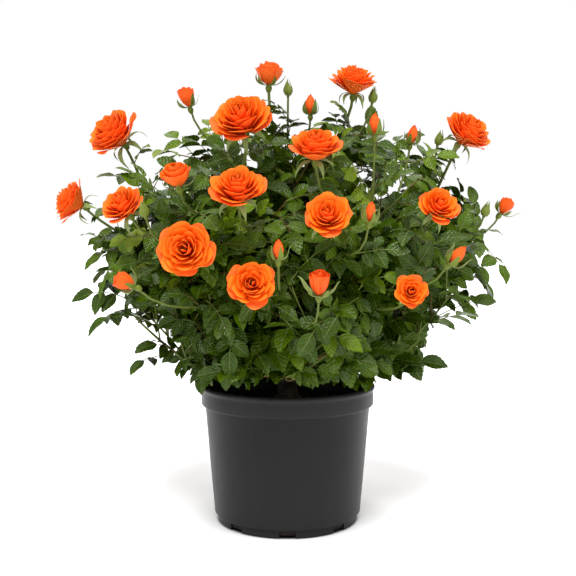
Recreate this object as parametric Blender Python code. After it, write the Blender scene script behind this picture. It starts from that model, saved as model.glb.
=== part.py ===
"""Rose bush in a nursery pot: pot, compost, rootstock, canes and eleven masses of foliage with blooms.

Metres, +Z up. The origin is the centre of the pot's flat underside and the front faces -Y. Directions
are given by a bearing, from the front towards +X, and a lift above the horizontal, seen from the heart
of the bush, where all its canes meet.
"""

import math
import random
from collections import namedtuple

import bmesh
import bpy
from mathutils import Matrix, Vector
from mathutils.bvhtree import BVHTree

# ---- driving dimensions -------------------------------------------------------------------------

UP = Vector((0, 0, 1))
GAP = 0.0003  # between neighbouring solids
TWIG_CLEARANCE = 0.002  # from a twig's line, or a leaf's corners, to what it must not touch
CLEARANCE = 0.004  # the same for whole shoots, canes and the pot

# Pot
POT_HEIGHT = 0.148
RIM_RADIUS = 0.095
BAND_HEIGHT = 0.0215  # the deep band round the rim
BAND_OVERHANG = 0.0055
BAND_SHOULDER = 0.004  # height over which the inside widens from the wall to the band
EDGE_ROUND = 0.0015
WALL_FOOT_RADIUS = 0.0795
FOOT_RADIUS = 0.078
FOOT_HEIGHT = 0.0095
WALL_THICKNESS = 0.0018
FLOOR_THICKNESS = 0.0025
TURN_STEPS = 40
NOTCH_COUNT = 8
NOTCH_WIDTH = 0.017
NOTCH_HEIGHT = 0.007
NOTCH_DEPTH = 0.0075  # how far a notch runs in under the floor

# Compost and rootstock
COMPOST_TOP = 0.130
FLARE_RADIUS = 0.017
NECK_RADIUS = 0.0105
FLARE_HEIGHT = 0.007
HEAD_RADIUS = 0.0125
HEAD_LIFTS = (-30, 0, 28, 55, 82)  # rings of the round head, by their angle above its centre
STOCK_SIDES = 12
HEART = Vector((0, 0, 0.152))

# Crown: an egg-shaped outline that the shoots reach, and the space round the heart kept for canes
CROWN_CENTRE = Vector((0, 0, 0.290))
CROWN_HALF = Vector((0.235, 0.215, 0.165))
SKIRT_HEIGHT = 0.143  # the foliage's lower edge, outside the rim
CANE_REACH = 0.070
CANE_RADII = (0.0034, 0.0026)
CANE_ARCH = 0.004
CANE_SIDES = 6

# Masses of foliage: a low ring, a high ring and the top
RING_COUNT = 5
LOW_LIFT = 12
HIGH_LIFT = 43
RING_TURN = 360 / RING_COUNT

# Shoots
STEM_SHARE = 0.60  # of the crown's reach
STEM_RADII = (0.0026, 0.0018)
TWIG_RADII = (0.0016, 0.0012)
SHOOT_COUNT = 107
LOWEST_RISE = 0.0  # sine of the lowest shoot's lift
LOW_CROWDING = 1.3  # over 1, the shoots stand closer together low in the crown
DEPTH_SHARES = (1.0, 0.88, 0.74)
TOP_THINNING = 0.22  # how much shorter the leafy shoots are at the top of the crown
LEAF_ROOM = 0.7  # leaf lengths kept between a leafy shoot's tip and the crown's outline
SHORTEST_REACH = 0.107  # from the heart, so that the lowest shoots pass over the pot's rim
BORDER_PULL = 0.10
FORK_LEAD = 0.55  # how far below its tip a shoot forks off, as a share of the stem's length
FORK_SHARES = (0.08, 0.94)  # of the stem's length, between which shoots fork off
SHOOT_BOW = 0.12  # how far a shoot bows towards its stem's axis, as a share of its length
GOLDEN_ANGLE = 137.508

# Leaves: each stands for one compound leaf
LEAF_LENGTH = 0.050
LEAF_WIDTH = 0.64  # this and the next are shares of the leaf's length
LEAF_WIDEST = 0.45
LEAF_FOLD = 0.09
LEAF_DROOP = 0.08
LEAF_UPWARD = 0.45  # how much a leaf's face turns from straight out to straight up
LEAF_FORWARD = 0.40  # how much a leaf leans along its shoot
LEAF_SIZES = (0.88, 1.08)
LEAF_SIZES_BLOOM = (0.75, 0.92)
LEAF_SHARES = (0.25, 0.9995)  # the stretch of a shoot that bears leaves
LEAF_SHARES_BLOOM = (0.25, 0.80)  # below a bloom the shoot is bare
LEAF_STRAY = 25
LEAF_SPACING = 0.0135
LEAF_TRIES = 8

# A bloom: kind, width, place from the heart, how proud of the crown it stands, and where it looks.
# Its shoot runs into its foot, a share of its width behind its middle.
BLOOM_SEAT = 0.25
BLOOM_NECK = 0.30  # how much of the shoot's length turns to where the bloom looks
Bloom = namedtuple("Bloom", "kind width bearing lift proud look_bearing look_lift")

FRONT_BLOOMS = (
    Bloom("open", 0.057, -84, 55, 0.021, -60, 45),
    Bloom("open", 0.058, -17, 61, 0.006, -15, 48),
    Bloom("open", 0.052, 60, 76, 0.024, 10, 72),
    Bloom("open", 0.054, 78, 54, 0.024, 50, 50),
    Bloom("open", 0.050, 8, 53, 0.006, 0, 62),
    Bloom("open", 0.042, -43, 39, 0.007, -40, 35),
    Bloom("open", 0.052, -12, 44, 0.006, 0, 50),
    Bloom("open", 0.053, -23, 33, 0.008, -5, 10),
    Bloom("open", 0.044, 9, 39, 0.007, -5, 30),
    Bloom("open", 0.040, 38, 40, 0.007, 15, 30),
    Bloom("open", 0.044, -8, 28, 0.008, 5, 15),
    Bloom("open", 0.036, 29, 26, 0.009, 0, 15),
    Bloom("half", 0.040, -80, 40, 0.004, -85, 25),
    Bloom("half", 0.026, -29, 46, 0.006, -20, 60),
    Bloom("half", 0.029, -34, 84, 0.024, 10, 80),
    Bloom("half", 0.022, 7, 28, 0.008, 0, 70),
    Bloom("bud", 0.019, -74, 70, 0.015, -60, 70),
    Bloom("bud", 0.016, -40, 27, 0.008, -80, 25),
    Bloom("bud", 0.016, 41, 31, 0.008, 60, 45),
    Bloom("bud", 0.017, 85, 39, 0.007, 70, 55),
    Bloom("bud", 0.015, 68, 62, -0.012, 30, 70),
    Bloom("bud", 0.015, 30, 58, 0.006, 0, 80),
    Bloom("bud", 0.015, 31, 81, -0.010, 0, 85),
)

REAR_COUNT = 14
REAR_KINDS = ("open", "open", "bud", "open", "half", "open")
REAR_WIDTHS = {"open": 0.050, "half": 0.032, "bud": 0.016}
REAR_SECTOR = (104, 256)
REAR_LIFTS = (14, 50)
REAR_PROUD = 0.010
REAR_UPWARD = 12  # blooms look a little higher than they stand

# Profiles of the blooms: (radius, height) as shares of the width, in the order of the surface
PETAL_COUNT = 5
SCALLOP = 0.86
OPEN_PROFILE = ((0.09, -0.30), (0.50, -0.02), (0.34, 0.07), (0.27, 0.17), (0.09, 0.13))
HALF_PROFILE = ((0.14, -0.38), (0.40, -0.12), (0.50, 0.28), (0.20, 0.32))
BUD_SIDES = 5
BUD_PROFILE = ((0.16, -0.70), (0.50, 0.0), (0.05, 1.0))

# Finishes: base colour and roughness
POT_BLACK = ((0.030, 0.030, 0.032), 0.5)
COMPOST_BROWN = ((0.030, 0.018, 0.012), 1.0)
BARK_BROWN = ((0.130, 0.085, 0.045), 0.8)
CANE_GREEN = ((0.110, 0.150, 0.045), 0.6)
LEAF_GREEN = ((0.045, 0.110, 0.025), 0.5)

# ---- helpers ------------------------------------------------------------------------------------


def clear_scene():
    for old in list(bpy.data.objects):
        bpy.data.objects.remove(old)


def make_finish(name, finish):
    colour, roughness = finish
    made = bpy.data.materials.new(name)
    made.use_nodes = True
    shader = made.node_tree.nodes["Principled BSDF"]
    shader.inputs["Base Color"].default_value = (*colour, 1)
    shader.inputs["Roughness"].default_value = roughness
    return made


def make_object(name, bm, finish=None):
    """Turns a bmesh into an object of the scene, with its faces pointing out."""
    bmesh.ops.recalc_face_normals(bm, faces=bm.faces)
    mesh = bpy.data.meshes.new(name)
    bm.to_mesh(mesh)
    bm.free()
    made = bpy.data.objects.new(name, mesh)
    bpy.context.scene.collection.objects.link(made)
    if finish:
        mesh.materials.append(make_finish(name, finish))
    return made


def towards(bearing, lift):
    """Unit vector of a bearing and a lift in degrees."""
    turn, rise = math.radians(bearing), math.radians(lift)
    return Vector((math.sin(turn) * math.cos(rise), -math.cos(turn) * math.cos(rise), math.sin(rise)))


def blend(low, high, share):
    return low + (high - low) * share


def crown_reach(direction):
    """Distance from the heart to the crown's outline along a direction."""
    start = Vector((a - b) / c for a, b, c in zip(HEART, CROWN_CENTRE, CROWN_HALF))
    step = Vector(a / b for a, b in zip(direction, CROWN_HALF))
    along, across = step.dot(step), start.dot(step)
    return (-across + math.sqrt(across * across - along * (start.dot(start) - 1))) / along


def bezier(points, share):
    """Point of a Bezier curve of any degree, by repeated blending."""
    while len(points) > 1:
        points = [a.lerp(b, share) for a, b in zip(points, points[1:])]
    return points[0]


def bezier_line(points, pieces):
    return [bezier(points, k / pieces) for k in range(pieces + 1)]


def line_at(line, share):
    """Point and direction at a share of a line's pieces."""
    place = share * (len(line) - 1)
    piece = min(int(place), len(line) - 2)
    step = line[piece + 1] - line[piece]
    return line[piece] + step * (place - piece), step.normalized()


def ring(centre, direction, radii, turn=0.0):
    """Points round a centre, square to a direction, one for each radius."""
    spin = direction.to_track_quat("Z", "Y")
    angles = [turn + k * math.tau / len(radii) for k in range(len(radii))]
    return [
        centre + spin @ Vector((r * math.cos(a), r * math.sin(a), 0)) for r, a in zip(radii, angles)
    ]


def loft(rings):
    """Closed skin through rings of points: a capped circle is extruded from each ring to the next."""
    bm = bmesh.new()
    bmesh.ops.create_circle(bm, cap_ends=True, segments=len(rings[0]), radius=1)
    face = bm.faces[:][0]
    verts = list(face.verts)
    for vert, point in zip(verts, rings[0]):
        vert.co = point
    for points in rings[1:]:
        made = bmesh.ops.extrude_face_region(bm, geom=[face], use_keep_orig=True)["geom"]
        fresh = {item for item in made if isinstance(item, bmesh.types.BMVert)}
        verts = [next(e.other_vert(v) for e in v.link_edges if e.other_vert(v) in fresh) for v in verts]
        if points is not rings[1]:
            bmesh.ops.delete(bm, geom=[face], context="FACES_ONLY")
        face = next(item for item in made if isinstance(item, bmesh.types.BMFace))
        for vert, point in zip(verts, points):
            vert.co = point
    return bm


def limb(line, radii, sides):
    """Tapering limb along a line, cut square at both ends."""
    rings = []
    for k, point in enumerate(line):
        before, after = line[max(k - 1, 0)], line[min(k + 1, len(line) - 1)]
        radius = blend(*radii, k / (len(line) - 1))
        rings.append(ring(point, (after - before).normalized(), [radius] * sides))
    return loft(rings)


def turned(profile):
    """Solid turned about Z from (radius, height) points that start and end on the axis."""
    bm = bmesh.new()
    verts = [bm.verts.new((radius, 0, height)) for radius, height in profile]
    edges = [bm.edges.new(pair) for pair in zip(verts, verts[1:])]
    turn = {"cent": (0, 0, 0), "axis": (0, 0, 1), "angle": math.tau, "steps": TURN_STEPS}
    bmesh.ops.spin(bm, geom=verts + edges, use_merge=True, **turn)
    bmesh.ops.remove_doubles(bm, verts=bm.verts, dist=1e-6)
    return bm


# ---- pot, compost and rootstock -----------------------------------------------------------------


def wall_radius(height):
    """Outer radius of the tapered wall, below the band and above the foot."""
    top = POT_HEIGHT - BAND_HEIGHT
    share = (height - FOOT_HEIGHT) / (top - FOOT_HEIGHT)
    return blend(WALL_FOOT_RADIUS, RIM_RADIUS - BAND_OVERHANG, share)


def make_pot():
    band_foot = POT_HEIGHT - BAND_HEIGHT
    inner_top = wall_radius(band_foot) - WALL_THICKNESS
    profile = (
        (0, 0),
        (FOOT_RADIUS, 0),
        (FOOT_RADIUS, FOOT_HEIGHT),
        (WALL_FOOT_RADIUS, FOOT_HEIGHT),
        (wall_radius(band_foot), band_foot),
        (RIM_RADIUS - EDGE_ROUND, band_foot),
        (RIM_RADIUS, band_foot + EDGE_ROUND),
        (RIM_RADIUS, POT_HEIGHT),
        (RIM_RADIUS - WALL_THICKNESS, POT_HEIGHT),
        (RIM_RADIUS - WALL_THICKNESS, band_foot + BAND_SHOULDER),
        (inner_top, band_foot),
        (FOOT_RADIUS - WALL_THICKNESS, FLOOR_THICKNESS),
        (0, FLOOR_THICKNESS),
    )
    pot = make_object("pot", turned(profile), POT_BLACK)
    cut = pot.modifiers.new("drainage notches", "BOOLEAN")
    cut.object = make_notch_cutter()
    return pot


def make_notch_cutter():
    """Blocks that cut the drainage notches out of the wall's foot and the edge of the floor."""
    outer = WALL_FOOT_RADIUS + 0.005
    inner = FOOT_RADIUS - NOTCH_DEPTH
    below = 0.002
    bm = bmesh.new()
    for k in range(NOTCH_COUNT):
        turn = Matrix.Rotation(k * math.tau / NOTCH_COUNT, 4, "Z")
        shift = Matrix.Translation((0, -(outer + inner) / 2, (NOTCH_HEIGHT - below) / 2))
        scale = Matrix.Diagonal((NOTCH_WIDTH, outer - inner, NOTCH_HEIGHT + below, 1))
        bmesh.ops.create_cube(bm, size=1, matrix=turn @ shift @ scale)
    cutter = make_object("notch_cutter", bm)
    cutter.display_type = "WIRE"
    cutter.hide_render = True
    return cutter


def make_compost():
    """The filling of the pot, in its inner shape, rising a little to the rootstock."""
    band_foot = POT_HEIGHT - BAND_HEIGHT
    foot_radius = FOOT_RADIUS - WALL_THICKNESS - GAP
    top_radius = wall_radius(band_foot) - WALL_THICKNESS - GAP
    profile = (
        (0, FLOOR_THICKNESS + GAP),
        (foot_radius, FLOOR_THICKNESS + GAP),
        (top_radius, band_foot),
        (FLARE_RADIUS * 1.5, COMPOST_TOP),
        (0, COMPOST_TOP),
    )
    return make_object("compost", turned(profile), COMPOST_BROWN)


def make_rootstock():
    """Short stem inside the bush: a flare on the compost, a neck and the knuckle that canes grow from."""
    foot = COMPOST_TOP + GAP
    profile = [
        (FLARE_RADIUS, foot),
        (blend(NECK_RADIUS, FLARE_RADIUS, 0.5), foot + FLARE_HEIGHT * 0.35),
        (NECK_RADIUS, foot + FLARE_HEIGHT),
    ]
    for lift in HEAD_LIFTS:
        turn = math.radians(lift)
        profile.append((HEAD_RADIUS * math.cos(turn), HEART.z + HEAD_RADIUS * math.sin(turn)))
    rings = [ring(Vector((0, 0, height)), UP, [radius] * STOCK_SIDES) for radius, height in profile]
    return make_object("rootstock", loft(rings), BARK_BROWN)


# ---- the plan of the bush -----------------------------------------------------------------------

Mass = namedtuple("Mass", "name cane axis")


def plan_masses():
    """Axes of the masses from the heart: the high ring stands in the gaps of the low one."""
    masses = []
    for k in range(RING_COUNT):
        bearing = k * RING_TURN
        masses.append(Mass(f"foliage_low_{k + 1}", f"cane_low_{k + 1}", towards(bearing, LOW_LIFT)))
    for k in range(RING_COUNT):
        bearing = (k + 0.5) * RING_TURN
        masses.append(Mass(f"foliage_high_{k + 1}", f"cane_high_{k + 1}", towards(bearing, HIGH_LIFT)))
    masses.append(Mass("foliage_top", "cane_top", towards(0, 90)))
    return masses


def rear_blooms():
    """Blooms on the far side, spread by the golden ratio over a sector behind the bush."""
    made = []
    for k in range(REAR_COUNT):
        kind = REAR_KINDS[k % len(REAR_KINDS)]
        bearing = blend(*REAR_SECTOR, (k * GOLDEN_ANGLE / 360) % 1)
        lift = blend(*REAR_LIFTS, (k + 0.5) / REAR_COUNT)
        made.append(Bloom(kind, REAR_WIDTHS[kind], bearing, lift, REAR_PROUD, bearing, lift + REAR_UPWARD))
    return made


def bloom_centre(bloom):
    direction = towards(bloom.bearing, bloom.lift)
    return HEART + direction * (crown_reach(direction) + bloom.proud)


def nearest_mass(direction, masses):
    return max(masses, key=lambda mass: mass.axis.dot(direction))


def in_space(point, mass, masses, margin):
    """Whether a point lies in the mass's own space: nearer in angle to its axis than to any other."""
    offset = point - HEART
    return all(
        offset.dot((mass.axis - other.axis).normalized()) >= margin
        for other in masses
        if other is not mass
    )


def shoot_targets():
    """Directions and depths of the leafy shoots' tips, even all round by the golden angle."""
    targets = []
    for k in range(SHOOT_COUNT):
        rise = blend(LOWEST_RISE, 1, ((k + 0.5) / SHOOT_COUNT) ** LOW_CROWDING)
        direction = towards(k * GOLDEN_ANGLE, math.degrees(math.asin(rise)))
        share = DEPTH_SHARES[k % len(DEPTH_SHARES)] * (1 - TOP_THINNING * max(rise, 0) ** 2)
        targets.append((direction, share))
    return targets


Shoot = namedtuple("Shoot", "line bloom")


def stem_line(mass):
    start = HEART + mass.axis * (CANE_REACH + GAP)
    return [start, HEART + mass.axis * (crown_reach(mass.axis) * STEM_SHARE)]


def leafy_shoot(mass, direction, share):
    """A shoot from the mass's stem, bowed towards the stem's axis, to its target."""
    aim = direction.lerp(mass.axis, BORDER_PULL).normalized()
    tip = HEART + aim * max(crown_reach(aim) * share - LEAF_LENGTH * LEAF_ROOM, SHORTEST_REACH)
    start = fork_point(mass, tip)
    bend = start.lerp(tip, 0.5) + mass.axis * ((tip - start).length * SHOOT_BOW)
    return Shoot(bezier_line([start, bend, tip], 2), None)


def bloom_shoot(mass, bloom):
    """A shoot that ends in a bloom's foot, turned to where the bloom looks."""
    look = towards(bloom.look_bearing, bloom.look_lift)
    foot = bloom_centre(bloom) - look * (bloom.width * BLOOM_SEAT)
    start = fork_point(mass, foot)
    length = (foot - start).length
    bend = start.lerp(foot, 1 / 3) + mass.axis * (length * SHOOT_BOW)
    ease = foot - (look + UP).normalized() * (length * BLOOM_NECK)
    return Shoot(bezier_line([start, bend, ease, foot], 4), bloom)


def fork_point(mass, tip):
    """Where a shoot leaves its mass's stem: further out for a further tip."""
    low, high = stem_line(mass)
    along = (tip - low).dot(mass.axis) / (high - low).length
    return low.lerp(high, min(max(along - FORK_LEAD, FORK_SHARES[0]), FORK_SHARES[1]))


def plan_shoots(masses, blooms):
    """The shoots of each mass. A leafy one that would cross a bloom or a border is left out."""
    shoots = {mass.name: [] for mass in masses}
    for bloom in blooms:
        mass = nearest_mass(towards(bloom.bearing, bloom.lift), masses)
        shoots[mass.name].append(bloom_shoot(mass, bloom))
    for direction, share in shoot_targets():
        mass = nearest_mass(direction, masses)
        shoot = leafy_shoot(mass, direction, share)
        if (
            all(in_space(point, mass, masses, TWIG_CLEARANCE) for point in shoot.line)
            and clear_of_canes(shoot.line)
            and not meets_bloom(shoot.line, blooms, CLEARANCE)
        ):
            shoots[mass.name].append(shoot)
    return shoots


def clear_of_canes(points):
    return all((point - HEART).length > CANE_REACH + CLEARANCE for point in points)


def meets_bloom(points, blooms, margin):
    """Whether any point comes within a margin of a bloom."""
    return any(
        (point - bloom_centre(bloom)).length < bloom.width / 2 + margin
        for bloom in blooms
        for point in points
    )


def meets_pot(points):
    """Whether any point comes close to the pot's rim or hangs below the foliage's lower edge."""
    return any(
        point.z < (POT_HEIGHT + CLEARANCE if point.xy.length < RIM_RADIUS + CLEARANCE else SKIRT_HEIGHT)
        for point in points
    )


# ---- leaves and blooms --------------------------------------------------------------------------

# A leaf is folded at its midrib, from root to tip, and its faces meet again under it from side to side
Leaf = namedtuple("Leaf", "root right tip left")
LEAF_FACES = ((0, 1, 2), (0, 2, 3), (0, 3, 1), (2, 1, 3))


def place_leaf(root, direction, face, length):
    """A leaf that grows from a root along a direction, with its upper side to a face direction."""
    side = direction.cross(face).normalized()
    up = side.cross(direction).normalized()
    middle = root + (direction * LEAF_WIDEST - up * LEAF_FOLD) * length
    half = side * (LEAF_WIDTH / 2 * length)
    tip = root + (direction - up * LEAF_DROOP) * length
    return Leaf(root, middle + half, tip, middle - half)


def leaf_fits(leaf, mass, masses, blooms):
    """Whether a leaf keeps to its space, off the canes, the pot and every bloom."""
    middles = [side.lerp(end, 0.5) for side in (leaf.left, leaf.right) for end in (leaf.root, leaf.tip)]
    points = [*leaf, *middles, leaf.root.lerp(leaf.tip, 0.5)]
    return (
        all(in_space(point, mass, masses, GAP) for point in leaf)
        and clear_of_canes(points)
        and not meets_pot(points)
        and not meets_bloom(points, blooms, TWIG_CLEARANCE)
    )


def plan_leaves(mass, masses, shoots, blooms):
    """The leaves of a mass: alternate along each shoot, and turned round it where one wouldn't fit."""
    draw = random.Random(mass.name)
    leaves, blades = [], []
    for shoot in shoots:
        others = [stem_line(mass)] + [other.line for other in shoots if other is not shoot]
        for ways in shoot_leaves(shoot, draw):
            for leaf in ways:
                blade = BVHTree.FromPolygons(leaf, LEAF_FACES)
                if leaf_fits(leaf, mass, masses, blooms) and not crosses(blade, blades, others):
                    leaves.append(leaf)
                    blades.append(blade)
                    break
    return leaves


def shoot_leaves(shoot, draw):
    """For each leaf of a shoot, the ways round the shoot in which it may stand, the best one first."""
    length = sum((b - a).length for a, b in zip(shoot.line, shoot.line[1:]))
    first_share, last_share = LEAF_SHARES_BLOOM if shoot.bloom else LEAF_SHARES
    count = max(2, round(length * (last_share - first_share) / LEAF_SPACING))
    for k in range(count):
        root, heading = line_at(shoot.line, blend(first_share, last_share, k / (count - 1)))
        face = ((root - HEART).normalized() + UP * LEAF_UPWARD).normalized()
        spin = heading.to_track_quat("Z", "Y")
        size = LEAF_LENGTH * draw.uniform(*LEAF_SIZES_BLOOM if shoot.bloom else LEAF_SIZES)
        start = draw.uniform(0, LEAF_STRAY) + k * GOLDEN_ANGLE
        ways = []
        for attempt in range(LEAF_TRIES):
            angle = math.radians(start + attempt * 360 / LEAF_TRIES)
            across = spin @ Vector((math.cos(angle), math.sin(angle), 0))
            direction = (across + heading * LEAF_FORWARD).normalized()
            ways.append(place_leaf(root, direction, face, size))
        yield ways


def crosses(blade, blades, lines):
    """Whether a leaf's blade cuts another blade or a shoot's line."""
    for line in lines:
        for start, end in zip(line, line[1:]):
            step = end - start
            if blade.ray_cast(start, step.normalized(), step.length)[0]:
                return True
    return any(blade.overlap(other) for other in blades)


def make_leaf(leaf):
    bm = bmesh.new()
    bmesh.ops.create_cone(bm, cap_ends=True, segments=3, radius1=1, radius2=0, depth=1)
    bmesh.ops.remove_doubles(bm, verts=bm.verts, dist=1e-6)
    for vert, corner in zip(bm.verts, leaf):
        vert.co = corner
    return make_object("leaf", bm)


def make_bloom(bloom):
    """A bloom as a stack of scalloped rings about the way it looks; a bud is a plain spindle."""
    look = towards(bloom.look_bearing, bloom.look_lift)
    centre = bloom_centre(bloom)
    profiles = {"open": OPEN_PROFILE, "half": HALF_PROFILE, "bud": BUD_PROFILE}
    rings = []
    for k, (radius, height) in enumerate(profiles[bloom.kind]):
        if bloom.kind == "bud":
            radii = [radius * bloom.width] * BUD_SIDES
        else:
            radii = [radius * bloom.width, radius * bloom.width * SCALLOP] * PETAL_COUNT
        turn = math.pi / PETAL_COUNT if k > 1 else 0
        rings.append(ring(centre + look * (height * bloom.width), look, radii, turn))
    return make_object("bloom", loft(rings))


# ---- masses and canes ---------------------------------------------------------------------------


def fuse(name, base, others, finish):
    """One Boolean union of a solid with a collection of others, applied, and its outer skin kept."""
    group = bpy.data.collections.new(name)
    bpy.context.scene.collection.children.link(group)
    for other in others:
        bpy.context.scene.collection.objects.unlink(other)
        group.objects.link(other)
    join = base.modifiers.new("join", "BOOLEAN")
    join.operation = "UNION"
    join.operand_type = "COLLECTION"
    join.collection = group
    join.solver = "EXACT"
    bpy.context.view_layer.update()
    graph = bpy.context.evaluated_depsgraph_get()
    bm = bmesh.new()
    bm.from_mesh(base.evaluated_get(graph).to_mesh())
    keep_largest_shell(bm)
    for old in [base, *others]:
        bpy.data.objects.remove(old)
    bpy.data.collections.remove(group)
    return make_object(name, bm, finish)


def keep_largest_shell(bm):
    """Drops loose scraps and fills sealed hollows: each is a shell of faces apart from the largest one."""
    bmesh.ops.triangulate(bm, faces=bm.faces)
    shells = []
    left = set(bm.faces)
    while left:
        shell, reached = set(), {left.pop()}
        while reached:
            face = reached.pop()
            shell.add(face)
            seams = (edge for edge in face.edges if edge.is_manifold)
            reached |= {near for edge in seams for near in edge.link_faces} - shell
        left -= shell
        shells.append(shell)
    largest = max(shells, key=len)
    bmesh.ops.delete(bm, geom=[face for face in bm.faces if face not in largest], context="FACES")


def make_mass(mass, masses, shoots, blooms):
    stem = make_object("stem", limb(stem_line(mass), STEM_RADII, 6))
    pieces = []
    for shoot in shoots:
        pieces.append(make_object("twig", limb(shoot.line, TWIG_RADII, 3)))
        if shoot.bloom:
            pieces.append(make_bloom(shoot.bloom))
    leaves = plan_leaves(mass, masses, shoots, blooms)
    pieces += [make_leaf(leaf) for leaf in leaves]
    return fuse(mass.name, stem, pieces, LEAF_GREEN)


def make_cane(mass):
    """One tapering limb from the rootstock's knuckle to where its mass of foliage begins."""
    start = HEART + mass.axis * (HEAD_RADIUS + GAP)
    end = HEART + mass.axis * CANE_REACH
    level = UP - mass.axis * mass.axis.z
    bend = start.lerp(end, 0.5) + level * CANE_ARCH
    line = bezier_line([start, bend, end], 3)
    return make_object(mass.cane, limb(line, CANE_RADII, CANE_SIDES), CANE_GREEN)


def main():
    clear_scene()
    make_pot()
    make_compost()
    make_rootstock()
    masses = plan_masses()
    blooms = [*FRONT_BLOOMS, *rear_blooms()]
    shoots = plan_shoots(masses, blooms)
    for mass in masses:
        make_cane(mass)
        make_mass(mass, masses, shoots[mass.name], blooms)


main()
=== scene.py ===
"""Looks of a rose bush in a nursery pot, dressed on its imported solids.

Metres, +Z up, front towards -Y. The bush grows by the plan of its solids: canes leave the heart, each mass
of foliage has a stem with shoots, and every shoot is carried on here to side twigs, compound leaves and
layered blooms, within the same crown.
"""

import math
import random
from collections import namedtuple
from functools import cache

import bmesh
import bpy
import numpy as np
from mathutils import Matrix, Vector, noise


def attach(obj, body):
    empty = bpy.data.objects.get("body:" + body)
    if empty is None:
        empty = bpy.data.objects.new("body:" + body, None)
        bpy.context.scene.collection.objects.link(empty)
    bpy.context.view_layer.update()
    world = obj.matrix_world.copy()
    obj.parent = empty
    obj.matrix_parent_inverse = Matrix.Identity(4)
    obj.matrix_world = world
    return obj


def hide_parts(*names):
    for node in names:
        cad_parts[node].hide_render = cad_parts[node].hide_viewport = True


bl_info = {
    "name": "Potted rose bush",
    "version": (1, 0, 0),
    "blender": (4, 5, 0),
    "location": "3D View > Sidebar > Rose bush",
    "description": "Dresses the solids of a potted rose bush with leaves, blooms, bark and a moulded pot",
    "category": "Object",
}

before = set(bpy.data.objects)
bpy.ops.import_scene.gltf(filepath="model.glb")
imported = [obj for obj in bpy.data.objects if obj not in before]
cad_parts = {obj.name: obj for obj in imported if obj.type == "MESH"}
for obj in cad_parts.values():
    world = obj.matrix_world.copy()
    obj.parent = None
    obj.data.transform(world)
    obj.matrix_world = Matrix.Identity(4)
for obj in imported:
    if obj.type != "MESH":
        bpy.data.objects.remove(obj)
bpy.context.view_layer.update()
LOW_NODES = [f"foliage_low_{k}" for k in range(1, 6)]
HIGH_NODES = [f"foliage_high_{k}" for k in range(1, 6)]
TOP_NODES = ["foliage_top"]
MASS_NODES = LOW_NODES + HIGH_NODES + TOP_NODES
CANE_NODES = [name.replace("foliage", "cane") for name in MASS_NODES]

# ---- the plan of the bush, as its solids have it ------------------------------------------------
# Lengths are in metres and angles in degrees. A pair of radii is for a limb's foot and its tip.

UP = Vector((0, 0, 1))
FRONT = Vector((0, -1, 0.12)).normalized()

POT_HEIGHT = 0.148
RIM_RADIUS = 0.095
BAND_HEIGHT = 0.0215
BAND_FOOT = POT_HEIGHT - BAND_HEIGHT
BAND_OVERHANG = 0.0055
WALL_FOOT_RADIUS = 0.0795
FOOT_RADIUS = 0.0758
FOOT_HEIGHT = 0.0095
WALL_THICKNESS = 0.0018
FLOOR_THICKNESS = 0.0025
NOTCH_COUNT = 8
NOTCH_WIDTH = 0.017
NOTCH_HEIGHT = 0.007
NOTCH_DEPTH = 0.0075
COMPOST_TOP = 0.130
FLARE_RADIUS = 0.017
NECK_RADIUS = 0.0105
FLARE_HEIGHT = 0.007
HEAD_RADIUS = 0.0125
HEART = Vector((0, 0, 0.152))

CROWN_CENTRE = Vector((0, 0, 0.290))
CROWN_HALF = Vector((0.235, 0.215, 0.165))
SKIRT_HEIGHT = 0.143
CANE_REACH = 0.070
CANE_RADII = (0.0034, 0.0026)
CANE_ARCH = 0.004
RING_COUNT = 5
LOW_LIFT = 12
HIGH_LIFT = 43
RING_TURN = 360 / RING_COUNT

STEM_SHARE = 0.60
STEM_RADII = (0.0026, 0.0018)
SHOOT_COUNT = 107
LOWEST_RISE = 0.0
LOW_CROWDING = 1.3
DEPTH_SHARES = (1.0, 0.88, 0.74)
TOP_THINNING = 0.22
TIP_ROOM = 0.035  # kept between a leafy shoot's tip and the crown's outline for its last leaf
SHORTEST_REACH = 0.107
BORDER_PULL = 0.10
FORK_LEAD = 0.55
FORK_SHARES = (0.08, 0.94)
SHOOT_BOW = 0.12
SPRAY_TIP_ROOM = 1.2  # as a share of the tip's room
GOLDEN_ANGLE = 137.508
TWIG_CLEARANCE = 0.002
CLEARANCE = 0.004
SIGHT_LENGTH = 0.11  # twigs and leaves stay out of the sight of a bloom for this far
SIGHT_RADII = (0.4, 0.5)  # as shares of a bloom's width, for one that looks away and one that looks forward

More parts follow.
